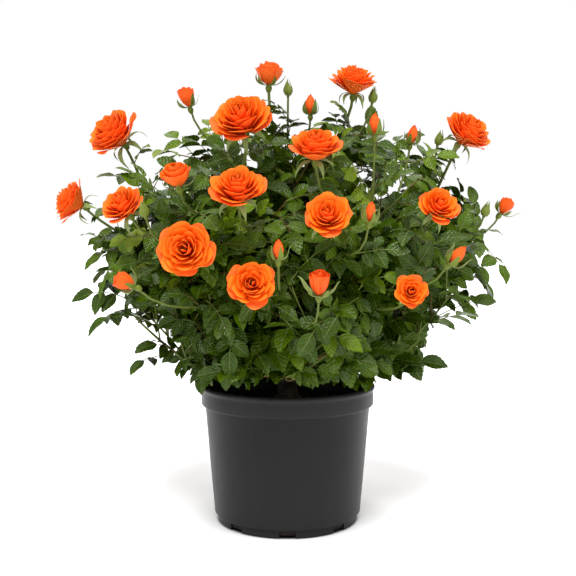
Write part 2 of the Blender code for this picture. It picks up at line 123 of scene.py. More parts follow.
Bloom = namedtuple("Bloom", "kind width bearing lift proud look_bearing look_lift")
FRONT_BLOOMS = (
    Bloom("open", 0.064, -84, 55, 0.021, -46, 38),
    Bloom("open", 0.060, -17, 61, 0.006, -15, 41),
    Bloom("open", 0.052, 60, 76, 0.024, 10, 72),
    Bloom("open", 0.057, 78, 54, 0.024, 44, 42),
    Bloom("open", 0.050, 8, 53, 0.006, 0, 62),
    Bloom("open", 0.045, -43, 40, 0.007, -34, 40),
    Bloom("open", 0.052, -12, 44, 0.006, 0, 50),
    Bloom("open", 0.053, -23, 33, 0.008, -5, 10),
    Bloom("open", 0.044, 9, 39, 0.007, -5, 30),
    Bloom("open", 0.040, 38, 40, 0.007, 15, 30),
    Bloom("open", 0.044, -8, 28, 0.008, 5, 15),
    Bloom("open", 0.032, 29, 26, 0.009, 0, 15),
    Bloom("open", 0.050, -80, 40, 0.008, -70, 22),
    Bloom("half", 0.026, -29, 46, 0.006, -20, 60),
    Bloom("half", 0.029, -34, 84, 0.024, 10, 80),
    Bloom("opening", 0.020, 7, 28, 0.008, 0, 68),
    Bloom("opening", 0.019, -74, 70, 0.015, -60, 70),
    Bloom("opening", 0.018, -40, 27, 0.008, -80, 25),
    Bloom("bud", 0.016, 41, 31, 0.008, 60, 45),
    Bloom("opening", 0.017, 85, 39, 0.007, 70, 55),
    Bloom("bud", 0.015, 68, 62, -0.012, 30, 70),
    Bloom("bud", 0.015, 30, 58, 0.006, 0, 80),
    Bloom("bud", 0.015, 31, 81, -0.010, 0, 85),
)
REAR_COUNT = 14
REAR_KINDS = ("open", "open", "bud", "open", "half", "open")
REAR_WIDTHS = {"open": 0.050, "half": 0.032, "bud": 0.016}
REAR_SECTOR = (140, 220)
REAR_LIFTS = (10, 40)
REAR_PROUD = 0.010
REAR_UPWARD = 12

# Buds too small for the solids
SMALL_BUDS = (
    Bloom("bud", 0.013, -2, 33, 0.008, 0, 75),
    Bloom("bud", 0.013, 19, 39, 0.007, 20, 75),
    Bloom("green", 0.008, 2, 86, 0.006, 20, 86),
    Bloom("green", 0.008, 65, 72, 0.010, 60, 80),
    Bloom("green", 0.008, 83, 58, -0.001, 80, 75),
    Bloom("green", 0.008, 79, 41, -0.016, 60, 70),
    Bloom("green", 0.008, -35, 39, 0.007, -30, 70),
)

# ---- finer growth -------------------------------------------------------------------------------

INNER_BEARING = 60  # low blooms this near the front grow from the stem in the crown's middle
INNER_LIFT = 48
INNER_RISE = 0.035  # their shoots leave it this far below their feet
BLOOM_NECK = 0.30  # how much of a bloom shoot's length turns to where the bloom looks
SHOOT_PIECES = 8
SHOOT_RADII = (0.0017, 0.0009)
SPRAY_RADII = (0.0013, 0.0007)
BLOOM_SHOOT_RADII = ((0.0012, 0.0010), (0.0018, 0.0015))  # for blooms low and high in the crown
BUD_SHOOT_RADII = ((0.0010, 0.0008), (0.0014, 0.0011))
THICK_SHOOT_LIFT = 60  # the lift from which they have the second radii
TWIG_PIECES = 4
TWIG_RADII = (0.0010, 0.0006)
TWIG_SPACING = 0.025
STEM_TWIG_SPACING = 0.011
TWIG_SHARES = (0.22, 0.88)
TWIG_SHARES_BLOOM = (0.15, 0.60)
TWIG_SHARES_STEM = (0.05, 1.0)
TWIG_LENGTHS = (0.030, 0.055)
TWIG_FORWARD = 0.6
TWIG_OUTWARD = 0.35
TWIG_LIFT = 0.10
TWIG_SAG = 0.06
TWIG_ROOM = 0.88  # share of the crown's reach that a side twig keeps within

# How much of the crown's reach the leaves fill: more over the pot, less at the foot of its left and right
# sides, and uneven
FILL = 0.955
FILL_HANG = 0.065
FILL_FOOT = (0.19, 0.18)
FOOT_START = (-0.05, 0.25)
FOOT_FALL = 2
HANG_START = 2.6
HANG_FALL = 4
FILL_UNEVEN = 0.10
FILL_SCALE = 3.1
SPRAY_ROOM = 1.06
BLOOM_LEAF_ROOM = 1.01  # for the leaves under blooms above a lift
HIGH_BLOOM_LIFT = 45
GAP_SCALE = 34
GAP_LEVEL = 0.17
GAP_DEPTHS = (0.70, 0.35)
GAP_RISE = 1.6

SKIRT_COUNT = 26  # low shoots all round, whose leaves hang over the pot's rim
SKIRT_LIFTS = (10, 3)
SKIRT_SHARES = (0.95, 0.72)

# Bearing and lift, in degrees, of lone sprays on the crown's outline, and how far their tips stand out
SPRAYS = (
    (-87, 27, -0.028),
    (-28, 6, -0.020),
    (6, 6, -0.026),
    (40, 6, -0.020),
    (-78, 13, -0.022),
    (82, 36, 0.012),
    (85, 30, -0.004),
    (81, 24, -0.030),
    (73, 13, -0.030),
    (72, 2, 0.026),
    (86, 44, 0.000),
    (86, 40, -0.016),
    (-86, 54, -0.026),
    (85, 68, -0.002),
)

MOUTH_HALF = 0.078  # half the width at the front where leaves stay up, clear of the pot's mouth
MOUTH_HEIGHT = 0.157
MOUTH_UNEVEN = 0.004  # half of what they stay higher between the places where they hang lowest
MOUTH_PITCH = 0.056  # from one such place to the next
MOUTH_FIRST = 0.0097  # from the middle to one of them

BARE_NECK = (0.020, 0.030)  # leafless length under a bloom, low and high in the crown
LEAF_LENGTH = 0.064
LEAF_SIZES = (0.80, 1.10)
LEAF_SCALE = (1.10, 0.80)  # low and high in the crown
LEAF_SIZES_BLOOM = (0.75, 1.0)
LEAF_SPACING = 0.0135
LEAF_SPACING_BLOOM = 0.019
LEAF_SHARES = (0.22, 1.0)
LEAF_SHARES_TWIG = (0.30, 1.0)
LEAF_SHARES_SPRAY = (0.45, 1.0)
LEAF_TRIES = 7
LEAF_STRAY = 40
LEAF_SHRINK = 0.06  # by which each further try is smaller
LEAF_UPWARD = 0.75
LEAF_FRONTWARD = 1.0
FRONTWARD_START = 0.75  # how much leaves in the crown's middle face the front
FRONTWARD_DEPTH = 0.2  # the depth over which that falls by one
FACE_STRAY = 0.3
LEAF_FORWARD = 0.55
LEAF_OUTWARD = 0.25
LAST_OUTWARD = 0.2
LEAF_DROOP = (0.85, 0.10)  # low and high in the crown
DROOP_RANGE = (0.2, 1.6)
LEAST_LEAFY = 0.4
SHORTEST_SHOOT = 0.3  # share of a shoot that is kept when its last leaves found no room
RACHIS_SHARE = 0.62
RACHIS_PIECES = 4
RACHIS_RADII = (0.00060, 0.00040)
PAIR_LEAD = 0.27
PAIR_GAP = 0.34
PAIR_WEIGHTS = (0.22, 0.66, 0.12)  # for leaves of one, two and three pairs
PAIR_SIZES = (0.38, 0.33, 0.24)
PAIR_SIZE_RANGE = (0.9, 1.08)
PAIR_TILTS = (-0.05, 0.30)
PAIR_PITCHES = (-0.2, 0.2)
PAIR_DROOP = 0.30
END_LEAFLET = 0.43
END_SIZE_RANGE = (0.94, 1.06)
END_TILTS = (-0.25, 0.25)
END_DROOP = 0.35
LEAFLET_SPREAD = 70
SPREAD_STRAY = 9

LEAFLET_WIDTH = 0.33  # half the width, as a share of the length
LEAFLET_LEAD = 0.80  # below one, it is widest nearer its base
LEAFLET_FULLNESS = 0.85  # below one, it is fuller than an ellipse
TOOTH_COUNT = 7
TOOTH_LENGTH = 0.016
TOOTH_ROOT = 0.62  # from one notch to the next, where a tooth stands and where its tip lies
TOOTH_TIP = 0.78
TOOTH_FADE = 9  # the count of teeth over which they would shrink to nothing
NOTCH_DEPTH_LEAF = 0.009
RIB_WIDTH = 0.011
RIB_TAPER = 0.6
LEAFLET_HOLLOW = 0.35  # how far its halves sink again towards their edges
WAVE_COUNT = 11
LEAFLET_FORMS = (  # fold at the midrib, bend along it and twist, in degrees, and the wave of the edges
    (20, 28, 6, 0.018),
    (14, 40, -8, 0.028),
    (26, 18, 10, 0.014),
    (10, 52, -5, 0.030),
    (18, 34, 14, 0.022),
    (30, 24, -12, 0.016),
)
TINT_HOLD = 0.65  # chance that a leaf has its shoot's tint
TWIG_TINT_HOLD = 0.6  # chance that a twig has its shoot's tint
OLD_LEAF_HEIGHT = 0.62  # share of the crown's height below which bloom shoots have no pale leaves
TINT_WEIGHTS = ((0.66, 0.32, 0.02, 0.0), (0.26, 0.42, 0.27, 0.05))  # dark to young leaves, low and high
TINTS = range(4)
MIDRIB = 4  # its material slot, after those of the tints
LEAF_SHINE = 0.22
LEAF_PIECES = {
    "leaves_low_front": [LOW_NODES[0], LOW_NODES[1], LOW_NODES[4]],
    "leaves_low_rear": LOW_NODES[2:4],
    "leaves_high_front": [HIGH_NODES[0], HIGH_NODES[4], *TOP_NODES],
    "leaves_high_rear": HIGH_NODES[1:4],
}

STEM_PIECES = 6
STEM_SIDES, SHOOT_SIDES, TWIG_SIDES, RACHIS_SIDES = 8, 7, 5, 4
GREEN, REDDISH, STALK = range(3)  # material slots of the twigs
# The slots that a limb may have, and their weights: for shoots, those of blooms and sprays come first
SHOOT_SLOTS = (((GREEN, REDDISH), (1, 0)), ((GREEN, REDDISH), (0.8, 0.2)))
TWIG_SLOTS = ((GREEN, REDDISH), (0.5, 0.5))
RACHIS_SLOTS = ((REDDISH, STALK), (0.3, 0.7))

# ---- blooms, as shares of the width -------------------------------------------------------------
# A petal's middle line rises from the base through a bend to its tip. Each row of numbers runs from the
# outermost petal to the innermost: how far out and up the bend and the tip lie, half the angle that the
# petal spans round the bloom, how flat it is across, and how far its rim rolls back.
Kind = namedtuple("Kind", "petals base bend_out bend_up tip_out tip_up half_turn flat roll")
KINDS = {
    "open": Kind(
        36,
        -0.30,
        (0.29, 0.27, 0.23, 0.15, 0.06),
        (-0.18, -0.12, -0.04, 0.05, 0.10),
        (0.475, 0.410, 0.310, 0.180, 0.030),
        (0.03, 0.125, 0.20, 0.250, 0.260),
        (34, 36, 39, 43, 60),
        (0.8, 0.5, 0.2, 0.1, 0.0),
        (0.085, 0.065, 0.045, 0.030, 0.0),
    ),
    "half": Kind(
        15,
        -0.42,
        (0.46, 0.42, 0.34, 0.24, 0.14),
        (-0.28, -0.21, -0.12, -0.02, 0.08),
        (0.46, 0.40, 0.32, 0.22, 0.07),
        (0.24, 0.31, 0.37, 0.41, 0.42),
        (64, 66, 70, 78, 95),
        (0.5, 0.3, 0.2, 0.1, 0.0),
        (0.13, 0.10, 0.06, 0.02, 0.0),
    ),
    "opening": Kind(
        7,
        -0.55,
        (0.54, 0.50, 0.44, 0.34, 0.24),
        (-0.22, -0.16, -0.08, 0.00, 0.10),
        (0.43, 0.36, 0.28, 0.19, 0.06),
        (0.42, 0.54, 0.60, 0.62, 0.58),
        (78, 80, 84, 92, 105),
        (0.3, 0.2, 0.1, 0.0, 0.0),
        (0.17, 0.12, 0.07, 0.02, 0.0),
    ),
    "bud": Kind(
        7,
        -0.55,
        (0.58, 0.54, 0.48, 0.40, 0.30),
        (-0.16, -0.10, -0.02, 0.06, 0.14),
        (0.17, 0.14, 0.10, 0.06, 0.03),
        (0.58, 0.68, 0.76, 0.80, 0.82),
        (76, 82, 88, 96, 110),
        (0.1, 0.05, 0.0, 0.0, 0.0),
        (0.05, 0.03, 0.0, 0.0, 0.0),
    ),
}
PETAL_GRID = (6, 8)  # rows and columns of faces
INNER_GRID = (4, 5)
INNER_SHARE = 0.55
OUTER_SHARE = 0.10
PETAL_THICKNESS = 0.00025
CLOSED_KINDS = ("opening", "bud")
RING_PETALS = 5  # petals come in rings of so many
RING_SHARE = 0.50  # how far the petals of a ring are alike
# How much shorter a petal is at its corners
PETAL_CORNERS = {"open": 0.31, "half": 0.10, "opening": 0.10, "bud": 0.31}
CORNER_POWER = 2.6
PETAL_FOOT = 0.03  # how far from the bloom's axis it stands
PETAL_CLAW = 0.42  # how narrow it is at its base
CLAW_LENGTH = 0.75
ROLL_POWER = 6  # the higher, the nearer to its rim it rolls back
ROLL_OUT = 0.5  # how far it rolls outwards for each part that it rolls down
PETAL_WAVE = 0.028
PETAL_LAP = 0.020
CALM_HEART = 0.7  # how much less the innermost petals wave and lap
TIP_OUTS = (0.90, 1.04)
TIP_UPS = (-0.020, 0.014)
POINTS = (-0.03, 0.02)  # how far the middle of a petal's rim stands out
POINT_WIDTH = 0.22
RIPPLE_COUNTS = (1.6, 3.2)
TURN_STRAY = 18
FULL_WIDTH = 0.050  # of an open bloom that has all its petals
COUNT_RANGE = (0.8, 1.05)
PAINTED_SHADE_ROWS = (0.35, 0.8)  # share of a petal, from its base, with the heart's colour, a painted shade deep in the bloom; outermost and innermost
FACE, PAINTED_HEART_SHADE, PAINTED_RIM_HIGHLIGHT, BACK, OUTER, BUD = range(6)  # material slots of the petals; the heart's is painted shade, the rim's a painted highlight
SEPAL_COUNT = 5
SEPAL_GRID = (8, 2)
# For each kind: how far out and up a sepal's line is led and ends, and half its width, all as shares of
# the bloom's width; how far its tip strays; and the hip's radius in metres
Calyx = namedtuple("Calyx", "lead turn tip half_width stray hip")
CALYXES = {
    "open": Calyx((0.24, 0.02), (0.34, -0.04), (0.34, -0.22), 0.062, 0.07, 0.0034),
    "half": Calyx((0.44, -0.06), (0.56, 0.20), (0.66, 0.42), 0.100, 0.16, 0.0034),
    "opening": Calyx((0.74, 0.02), (0.60, 0.48), (0.80, 0.66), 0.16, 0.20, 0.0029),
    "bud": Calyx((0.76, 0.02), (0.48, 0.66), (0.44, 1.06), 0.24, 0.34, 0.0027),
    "green": Calyx((0.86, 0.06), (0.40, 0.90), (0.06, 1.80), 0.30, 0.03, 0.0016),
}
HIP_LENGTH = 2.1  # as a share of its radius
BLOOM_SHARP = 50  # angle in degrees past which an edge is sharp
SEPAL_THICKNESS = 0.0003
SEPAL_SIZES = (0.80, 1.15)
SEPAL_STRAY = 10
SEPAL_START = 0.28  # where along a bulge its outline starts
SEPAL_TIP = 0.04  # width of its tip, as a share of its greatest
SEPAL_ROOT = 0.7  # where it leaves the hip, as a share of the hip's radius
SEPAL_CUP = (0.10, 0.15)  # how far out and up its edges stand from its middle
SEPAL, LINING, CENTRE = range(3)  # material slots of the hips and sepals
# Turned shapes by radius and height, in shares of the hip's radius and length or of the bloom's width
HIP_SHAPE = (
    (0, -1.15),
    (0.48, -1.12),
    (0.72, -0.95),
    (1.0, -0.62),
    (1.05, -0.38),
    (0.82, -0.08),
    (0.95, 0.06),
    (0, 0.10),
)
GREEN_BUD_SHAPE = ((0, -0.2), (0.42, -0.1), (0.60, 0.30), (0.52, 0.75), (0.25, 1.15), (0, 1.4))
CENTRE_COLOUR = (0.10, 0.12, 0.02)
CENTRE_SHAPE = ((0, -0.10), (0.018, -0.08), (0.024, 0.04), (0.016, 0.12), (0, 0.13))
HIP_SIDES, GREEN_BUD_SIDES, CENTRE_SIDES = 12, 10, 9

# ---- pot, wood and stage ------------------------------------------------------------------------

BEAD_RADIUS = 0.0027  # of the rim's rounded lip
BAND_INSET = 0.0014  # how far the band stays inside the lip
RIM_WIDTH = 0.0042
POT_STEPS = 120
POT_SHARP = 40  # angle in degrees past which an edge is sharp
NOTCH_ROUND = 0.0012
COMPOST_STEPS = 96
COMPOST_RINGS = 22
COMPOST_GAP = 0.0004  # to the pot's wall and floor
COMPOST_RELIEF = 0.0012
COMPOST_LUMPS = 160  # per metre
COMPOST_SLOPE = 1.3  # above one, it is level before it reaches the middle
CRUMB_COUNT = 420
CRUMB_SPREAD = 0.96  # share of the compost's radius
CRUMB_SIZES = (0.0008, 0.0024)
CRUMB_STRETCHES = ((0.6, 1.4), (0.6, 1.4), (0.5, 1.0))
OLD_RIDGE = (0.12, 0.09, 0.055)  # colours of the bark's ridges
GREEN_RIDGE = (0.16, 0.10, 0.05)
WOOD_SHARP = 70
STOCK_POINTS = 26
STOCK_SIDES = 40
STOCK_RELIEF = (0.10, 210)  # of the bark: its depth as a share of the radius, and its lumps per metre
CANE_PIECES = 20
CANE_SIDES = 16
CANE_RELIEF = (0.05, 320)
CANE_FOOT_SWELL = 1.25
SCAR_PLACE = 6  # the piece of a cane with a leaf scar
SCAR_SWELL = 0.14
PRICKLE_COUNT = 5
PRICKLE_START = 0.25
PRICKLE_SPACING = 0.15
PRICKLE_ROOT = 0.0027
PRICKLE_LENGTH = 0.0034
PRICKLE_LEAN = 0.25
PRICKLE_RADII = (0.28, 0.02)  # at its foot and tip, as shares of its length
FLOOR_RADIUS = 30
FLOOR_DROP = 0.0004
FLOOR_GLOW = 0.25  # lifts the floor to a pale, nearly shadowless white
PAINTED_SHADE_RADIUS = 0.12  # from the pot's foot out to this radius the floor's painted contact shadow fades, and the floor grows pale
SIDE_SHARES = (0.95, 1.15)  # of the side lights' strength, left and right
CAMERA_SHIFT = 0.0009
SENSOR_WIDTH = 36


def clamp(value, low, high):
    return max(low, min(high, value))


def blend(low, high, share):
    return low + (high - low) * share


def towards(bearing, lift):
    """Unit vector of a bearing, from the front towards +X, and a lift, both in degrees."""
    turn, rise = math.radians(bearing), math.radians(lift)
    return Vector((math.sin(turn) * math.cos(rise), -math.cos(turn) * math.cos(rise), math.sin(rise)))


def in_crown(point):
    """A point as seen from the crown's middle, in shares of its half sizes."""
    return Vector((a - b) / c for a, b, c in zip(point, CROWN_CENTRE, CROWN_HALF))


def height_share(point):
    """How high a point is in the crown, from 0 at the heart to 1 at the top."""
    return clamp((point.z - HEART.z) / (2 * CROWN_HALF.z), 0, 1)


def ring_point(spin, angle):
    """Unit vector across an axis, at an angle in radians round it."""
    return spin @ Vector((math.cos(angle), math.sin(angle), 0))


def turned_to(axis):
    """Rotation matrix that turns Z to an axis, for arrays."""
    return np.array(axis.to_track_quat("Z", "Y").to_matrix())


def crown_reach(direction):
    """Distance from the heart to the crown's outline along a direction."""
    start = in_crown(HEART)
    step = Vector(a / b for a, b in zip(direction, CROWN_HALF))
    along, across = step.dot(step), start.dot(step)
    return (-across + math.sqrt(across * across - along * (start.dot(start) - 1))) / along


def bezier(points, share):
    """Point of a Bezier curve of any degree, by repeated blending."""
    while len(points) > 1:
        points = [a.lerp(b, share) for a, b in zip(points, points[1:])]
    return points[0]


def bezier_line(points, pieces):
    return [bezier(points, k / pieces) for k in range(pieces + 1)]


def line_at(line, share):
    """Point and direction at a share of a line's pieces."""
    place = share * (len(line) - 1)
    piece = min(int(place), len(line) - 2)
    step = line[piece + 1] - line[piece]
    return line[piece] + step * (place - piece), step.normalized()


def line_length(line):
    return sum((b - a).length for a, b in zip(line, line[1:]))


# ---- the plan, grown again ----------------------------------------------------------------------

Mass = namedtuple("Mass", "name axis")
Shoot = namedtuple("Shoot", "line kind bloom")  # the kind is leafy, bloom, spray, twig or stem


def plan_masses():
    """Axes of the masses from the heart: the high ring stands in the gaps of the low one."""
    low = [Mass(name, towards(k * RING_TURN, LOW_LIFT)) for k, name in enumerate(LOW_NODES)]
    high = [Mass(name, towards((k + 0.5) * RING_TURN, HIGH_LIFT)) for k, name in enumerate(HIGH_NODES)]
    return low + high + [Mass(TOP_NODES[0], towards(0, 90))]


def rear_blooms():
    """Blooms on the far side, spread by the golden ratio over a sector behind the bush."""
    made = []
    for k in range(REAR_COUNT):
        kind = REAR_KINDS[k % len(REAR_KINDS)]
        bearing = blend(*REAR_SECTOR, (k * GOLDEN_ANGLE / 360) % 1)
        lift = blend(*REAR_LIFTS, (k + 0.5) / REAR_COUNT)
        made.append(Bloom(kind, REAR_WIDTHS[kind], bearing, lift, REAR_PROUD, bearing, lift + REAR_UPWARD))
    return made


def bloom_centre(bloom):
    direction = towards(bloom.bearing, bloom.lift)
    return HEART + direction * (crown_reach(direction) + bloom.proud)


def bloom_look(bloom):
    return towards(bloom.look_bearing, bloom.look_lift)


def bloom_foot(bloom):
    """Where a bloom's petals and sepals leave its hip."""
    base = KINDS[bloom.kind].base if bloom.kind in KINDS else -0.5
    return bloom_centre(bloom) + bloom_look(bloom) * (base * bloom.width)


def nearest_mass(direction, masses):
    return max(masses, key=lambda mass: mass.axis.dot(direction))


def in_space(point, mass, masses, margin):
    """Whether a point lies in the mass's own space: nearer in angle to its axis than to any other."""
    offset = point - HEART
    return all(
        offset.dot((mass.axis - other.axis).normalized()) >= margin
        for other in masses
        if other is not mass
    )


def shoot_targets():
    """Directions and depths of the leafy shoots' tips, even all round by the golden angle."""
    targets = []
    for k in range(SHOOT_COUNT):
        rise = blend(LOWEST_RISE, 1, ((k + 0.5) / SHOOT_COUNT) ** LOW_CROWDING)
        direction = towards(k * GOLDEN_ANGLE, math.degrees(math.asin(rise)))
        share = DEPTH_SHARES[k % len(DEPTH_SHARES)] * (1 - TOP_THINNING * rise**2)
        targets.append((direction, share))
    for k in range(SKIRT_COUNT):
        targets.append((towards(k * 360 / SKIRT_COUNT, SKIRT_LIFTS[k % 2]), SKIRT_SHARES[k % 2]))
    return targets


def stem_line(mass):
    return [HEART + mass.axis * CANE_REACH, HEART + mass.axis * (crown_reach(mass.axis) * STEM_SHARE)]


def fork_point(mass, tip):
    """Where a shoot leaves its mass's stem: further out for a further tip."""
    low, high = stem_line(mass)
    along = (tip - low).dot(mass.axis) / (high - low).length
    return low.lerp(high, clamp(along - FORK_LEAD, *FORK_SHARES))


def leafy_shoot(mass, direction, share):
    """A shoot from the mass's stem, bowed towards the stem's axis, to its target."""
    aim = direction.lerp(mass.axis, BORDER_PULL).normalized()
    reach = crown_reach(aim)
    reach *= share * min(1, fill_at(HEART + aim * reach) / FILL)
    tip = HEART + aim * max(reach - TIP_ROOM, SHORTEST_REACH)
    start = fork_point(mass, tip)
    bend = start.lerp(tip, 0.5) + mass.axis * ((tip - start).length * SHOOT_BOW)
    return Shoot(bezier_line([start, bend, tip], SHOOT_PIECES), "leafy", None)


def spray_shoot(mass, direction, stand):
    """A shoot to a lone spray, whose last leaf ends a set distance beyond the crown's reach."""
    tip = HEART + direction * (crown_reach(direction) + stand - TIP_ROOM * SPRAY_TIP_ROOM)
    start = fork_point(mass, tip)
    bend = start.lerp(tip, 0.5) + UP * ((tip - start).length * SHOOT_BOW)
    return Shoot(bezier_line([start, bend, tip], SHOOT_PIECES), "spray", None)


def bloom_shoot(mass, bloom):
    """A shoot that ends in a bloom's foot, turned to where the bloom looks.

    That of a low bloom at the front leaves the upright stem in the crown's middle, behind the leaves.
    """
    foot = bloom_foot(bloom)
    if abs(bloom.bearing) < INNER_BEARING and bloom.lift < INNER_LIFT:
        low, high = stem_line(plan_masses()[-1])
        start = low.lerp(high, clamp((foot.z - INNER_RISE - low.z) / (high.z - low.z), 0, 1))
        bow = UP
    else:
        start = fork_point(mass, foot)
        bow = mass.axis
    length = (foot - start).length
    bend = start.lerp(foot, 1 / 3) + bow * (length * SHOOT_BOW)
    ease = foot - (bloom_look(bloom) * 2 + UP).normalized() * (length * BLOOM_NECK)
    return Shoot(bezier_line([start, bend, ease, foot], SHOOT_PIECES + 2), "bloom", bloom)


class Room:
    """What twigs and leaves keep clear of: the blooms and the sight of them, the pot and the outline."""

    def __init__(self, blooms):
        self.centres = np.array([bloom_centre(bloom) for bloom in blooms])
        self.radii = np.array([bloom.width for bloom in blooms]) / 2
        starts, steps, radii = [], [], []
        for bloom in blooms:
            front = bloom in FRONT_BLOOMS or bloom in SMALL_BUDS
            for step in [bloom_look(bloom) * SIGHT_LENGTH] + [FRONT * SIGHT_LENGTH] * front:
                starts.append(bloom_centre(bloom))
                steps.append(step)
                radii.append(bloom.width * SIGHT_RADII[step.dot(FRONT) > 0])
        self.sight = np.array(starts), np.array(steps), np.array(radii)

    def meets_bloom(self, points, margin):
        gaps = np.linalg.norm(points[:, None] - self.centres, axis=2) - self.radii
        return bool((gaps < margin).any())

    def hides_bloom(self, points):
        starts, steps, radii = self.sight
        offsets = points[:, None] - starts
        shares = np.clip((offsets * steps).sum(axis=2) / (SIGHT_LENGTH * SIGHT_LENGTH), 0, 1)
        gaps = np.linalg.norm(offsets - shares[..., None] * steps, axis=2)
        return bool((gaps < radii).any())

    def meets_pot(self, points):
        inside = np.hypot(points[:, 0], points[:, 1]) < RIM_RADIUS + CLEARANCE
        low = np.where(inside, POT_HEIGHT + TWIG_CLEARANCE, SKIRT_HEIGHT)
        lift = MOUTH_UNEVEN * (1 - np.cos((points[:, 0] - MOUTH_FIRST) * math.tau / MOUTH_PITCH))
        low = np.where((points[:, 1] < 0) & (abs(points[:, 0]) < MOUTH_HALF), MOUTH_HEIGHT + lift, low)
        return bool((points[:, 2] < low).any())

    def outside(self, points, room):
        """Whether any point lies beyond a share of the crown's reach."""
        shares = (points - np.array(CROWN_CENTRE)) / np.array(CROWN_HALF)
        return bool(((shares**2).sum(axis=1) > room * room).any())

    def blocks(self, points, room, margin=0.001):
        return (
            self.outside(points, room)
            or self.meets_pot(points)
            or self.meets_bloom(points, margin)
            or self.hides_bloom(points)
        )


def fill_at(point):
    """Share of the crown's reach that the leaves fill in the direction of a point."""
    offset = in_crown(point)
    side = Vector((offset.x, 0, offset.z)).normalized()
    hang = clamp(-side.z * HANG_FALL - HANG_START, 0, 1)
    right = side.x > 0
    foot = clamp(FOOT_START[right] - side.z * FOOT_FALL, 0, 1) * abs(side.x) * FILL_FOOT[right]
    uneven = FILL_UNEVEN * noise.noise(offset.normalized() * FILL_SCALE)
    return FILL + FILL_HANG * hang - foot * (1 - hang) + uneven


def in_gap(point):
    """Whether a point lies in one of the gaps of the outer foliage, which are deeper high in the crown."""
    offset = in_crown(point)
    depth = blend(*GAP_DEPTHS, clamp(offset.z * GAP_RISE, 0, 1))
    return offset.length > depth and noise.noise(point * GAP_SCALE) > GAP_LEVEL


def plan_shoots(masses, blooms):
    """The shoots of each mass. A leafy one that would cross a bloom or a border is left out."""
    room = Room(blooms)
    shoots = {mass.name: [] for mass in masses}
    for bloom in [*blooms, *SMALL_BUDS]:
        mass = nearest_mass(towards(bloom.bearing, bloom.lift), masses)
        shoots[mass.name].append(bloom_shoot(mass, bloom))
    for bearing, lift, stand in SPRAYS:
        direction = towards(bearing, lift)
        mass = nearest_mass(direction, masses)
        shoots[mass.name].append(spray_shoot(mass, direction, stand))
    for direction, share in shoot_targets():
        mass = nearest_mass(direction, masses)
        shoot = leafy_shoot(mass, direction, share)
        points = shoot.line[:: SHOOT_PIECES // 2]
        if (
            all(in_space(point, mass, masses, TWIG_CLEARANCE) for point in points)
            and all((point - HEART).length > CANE_REACH + CLEARANCE for point in points)
            and not room.meets_bloom(np.array(points), CLEARANCE)
        ):
            shoots[mass.name].append(shoot)
    return shoots


# ---- twigs and leaves ---------------------------------------------------------------------------

Leaflet = namedtuple("Leaflet", "root direction face length")
Leaf = namedtuple("Leaf", "rachis leaflets tint")
Growth = namedtuple("Growth", "mass shoots twigs leaves")


def side_twigs(shoot, room, draw):
    """Twigs round a shoot or stem, kept inside the crown and clear of the blooms and the pot."""
    first, last = {"bloom": TWIG_SHARES_BLOOM, "stem": TWIG_SHARES_STEM}.get(shoot.kind, TWIG_SHARES)
    spacing = STEM_TWIG_SPACING if shoot.kind == "stem" else TWIG_SPACING
    count = max(1, round(line_length(shoot.line) * (last - first) / spacing))
    twigs = []
    for k in range(count):
        root, heading = line_at(shoot.line, blend(first, last, (k + 0.5) / count))
        spin = heading.to_track_quat("Z", "Y")
        outward = (root - HEART).normalized()
        length = draw.uniform(*TWIG_LENGTHS)
        start = k * GOLDEN_ANGLE + draw.uniform(0, 360)
        for attempt in range(LEAF_TRIES):
            angle = math.radians(start + attempt * 360 / LEAF_TRIES)
            across = ring_point(spin, angle)
            direction = (across + heading * TWIG_FORWARD + outward * TWIG_OUTWARD).normalized()
            tip = root + direction * length + UP * (length * TWIG_LIFT)
            points = np.array([root.lerp(tip, 0.5), tip])
            if not room.blocks(points, TWIG_ROOM * fill_at(tip), CLEARANCE):
                bend = root + direction * (length * 0.5) - UP * (length * TWIG_SAG)
                twigs.append(Shoot(bezier_line([root, bend, tip], TWIG_PIECES), "twig", None))
                break
    return twigs


def grow_leaf(root, direction, face, length, pairs, droop, tint, draw):
    """A compound leaf: pairs of leaflets and one at the end, on a rachis that sinks towards its tip."""
    half = length * RACHIS_SHARE / 2
    middle = root + direction * half
    end = middle + (direction - UP * droop).normalized() * half
    rachis = bezier_line([root, middle, end], RACHIS_PIECES)
    leaflets = []
    for k in range(pairs):
        point, heading = line_at(rachis, 1 - PAIR_LEAD - k * PAIR_GAP)
        side = heading.cross(face).normalized()
        up = side.cross(heading).normalized()
        for sign in (1, -1):
            spread = math.radians(LEAFLET_SPREAD + draw.uniform(-SPREAD_STRAY, SPREAD_STRAY))
            lean = heading * math.cos(spread) + side * (sign * math.sin(spread)) - UP * (droop * PAIR_DROOP)
            tilt = up + side * (sign * draw.uniform(*PAIR_TILTS)) + heading * draw.uniform(*PAIR_PITCHES)
            size = length * PAIR_SIZES[k] * draw.uniform(*PAIR_SIZE_RANGE)
            leaflets.append(Leaflet(point, lean.normalized(), tilt.normalized(), size))
    heading = (rachis[-1] - rachis[-2]).normalized()
    lean = (heading - UP * (droop * END_DROOP)).normalized()
    side = heading.cross(face).normalized()
    tilt = side.cross(lean) + side * draw.uniform(*END_TILTS)
    size = length * END_LEAFLET * draw.uniform(*END_SIZE_RANGE)
    leaflets.append(Leaflet(end, lean, tilt.normalized(), size))
    return Leaf(rachis, leaflets, tint)


def leaf_points(leaf):
    """Points that stand for a leaf's leaflets: their middles, and close to their sides and tips."""
    points = []
    for root, direction, face, length in leaf.leaflets:
        side = direction.cross(face) * (length * LEAFLET_WIDTH * 0.8)
        middle = root + direction * (length * 0.5)
        points += [middle, middle + side, middle - side, root + direction * (length * 0.97)]
    return np.array(points)


def trimmed(shoot, last):
    """A shoot cut off at a share of its length, in as many pieces as before."""
    count = len(shoot.line) - 1
    return shoot._replace(line=[line_at(shoot.line, last * k / count)[0] for k in range(count + 1)])


def tint_weights(height):
    return [blend(a, b, height) for a, b in zip(*TINT_WEIGHTS)]


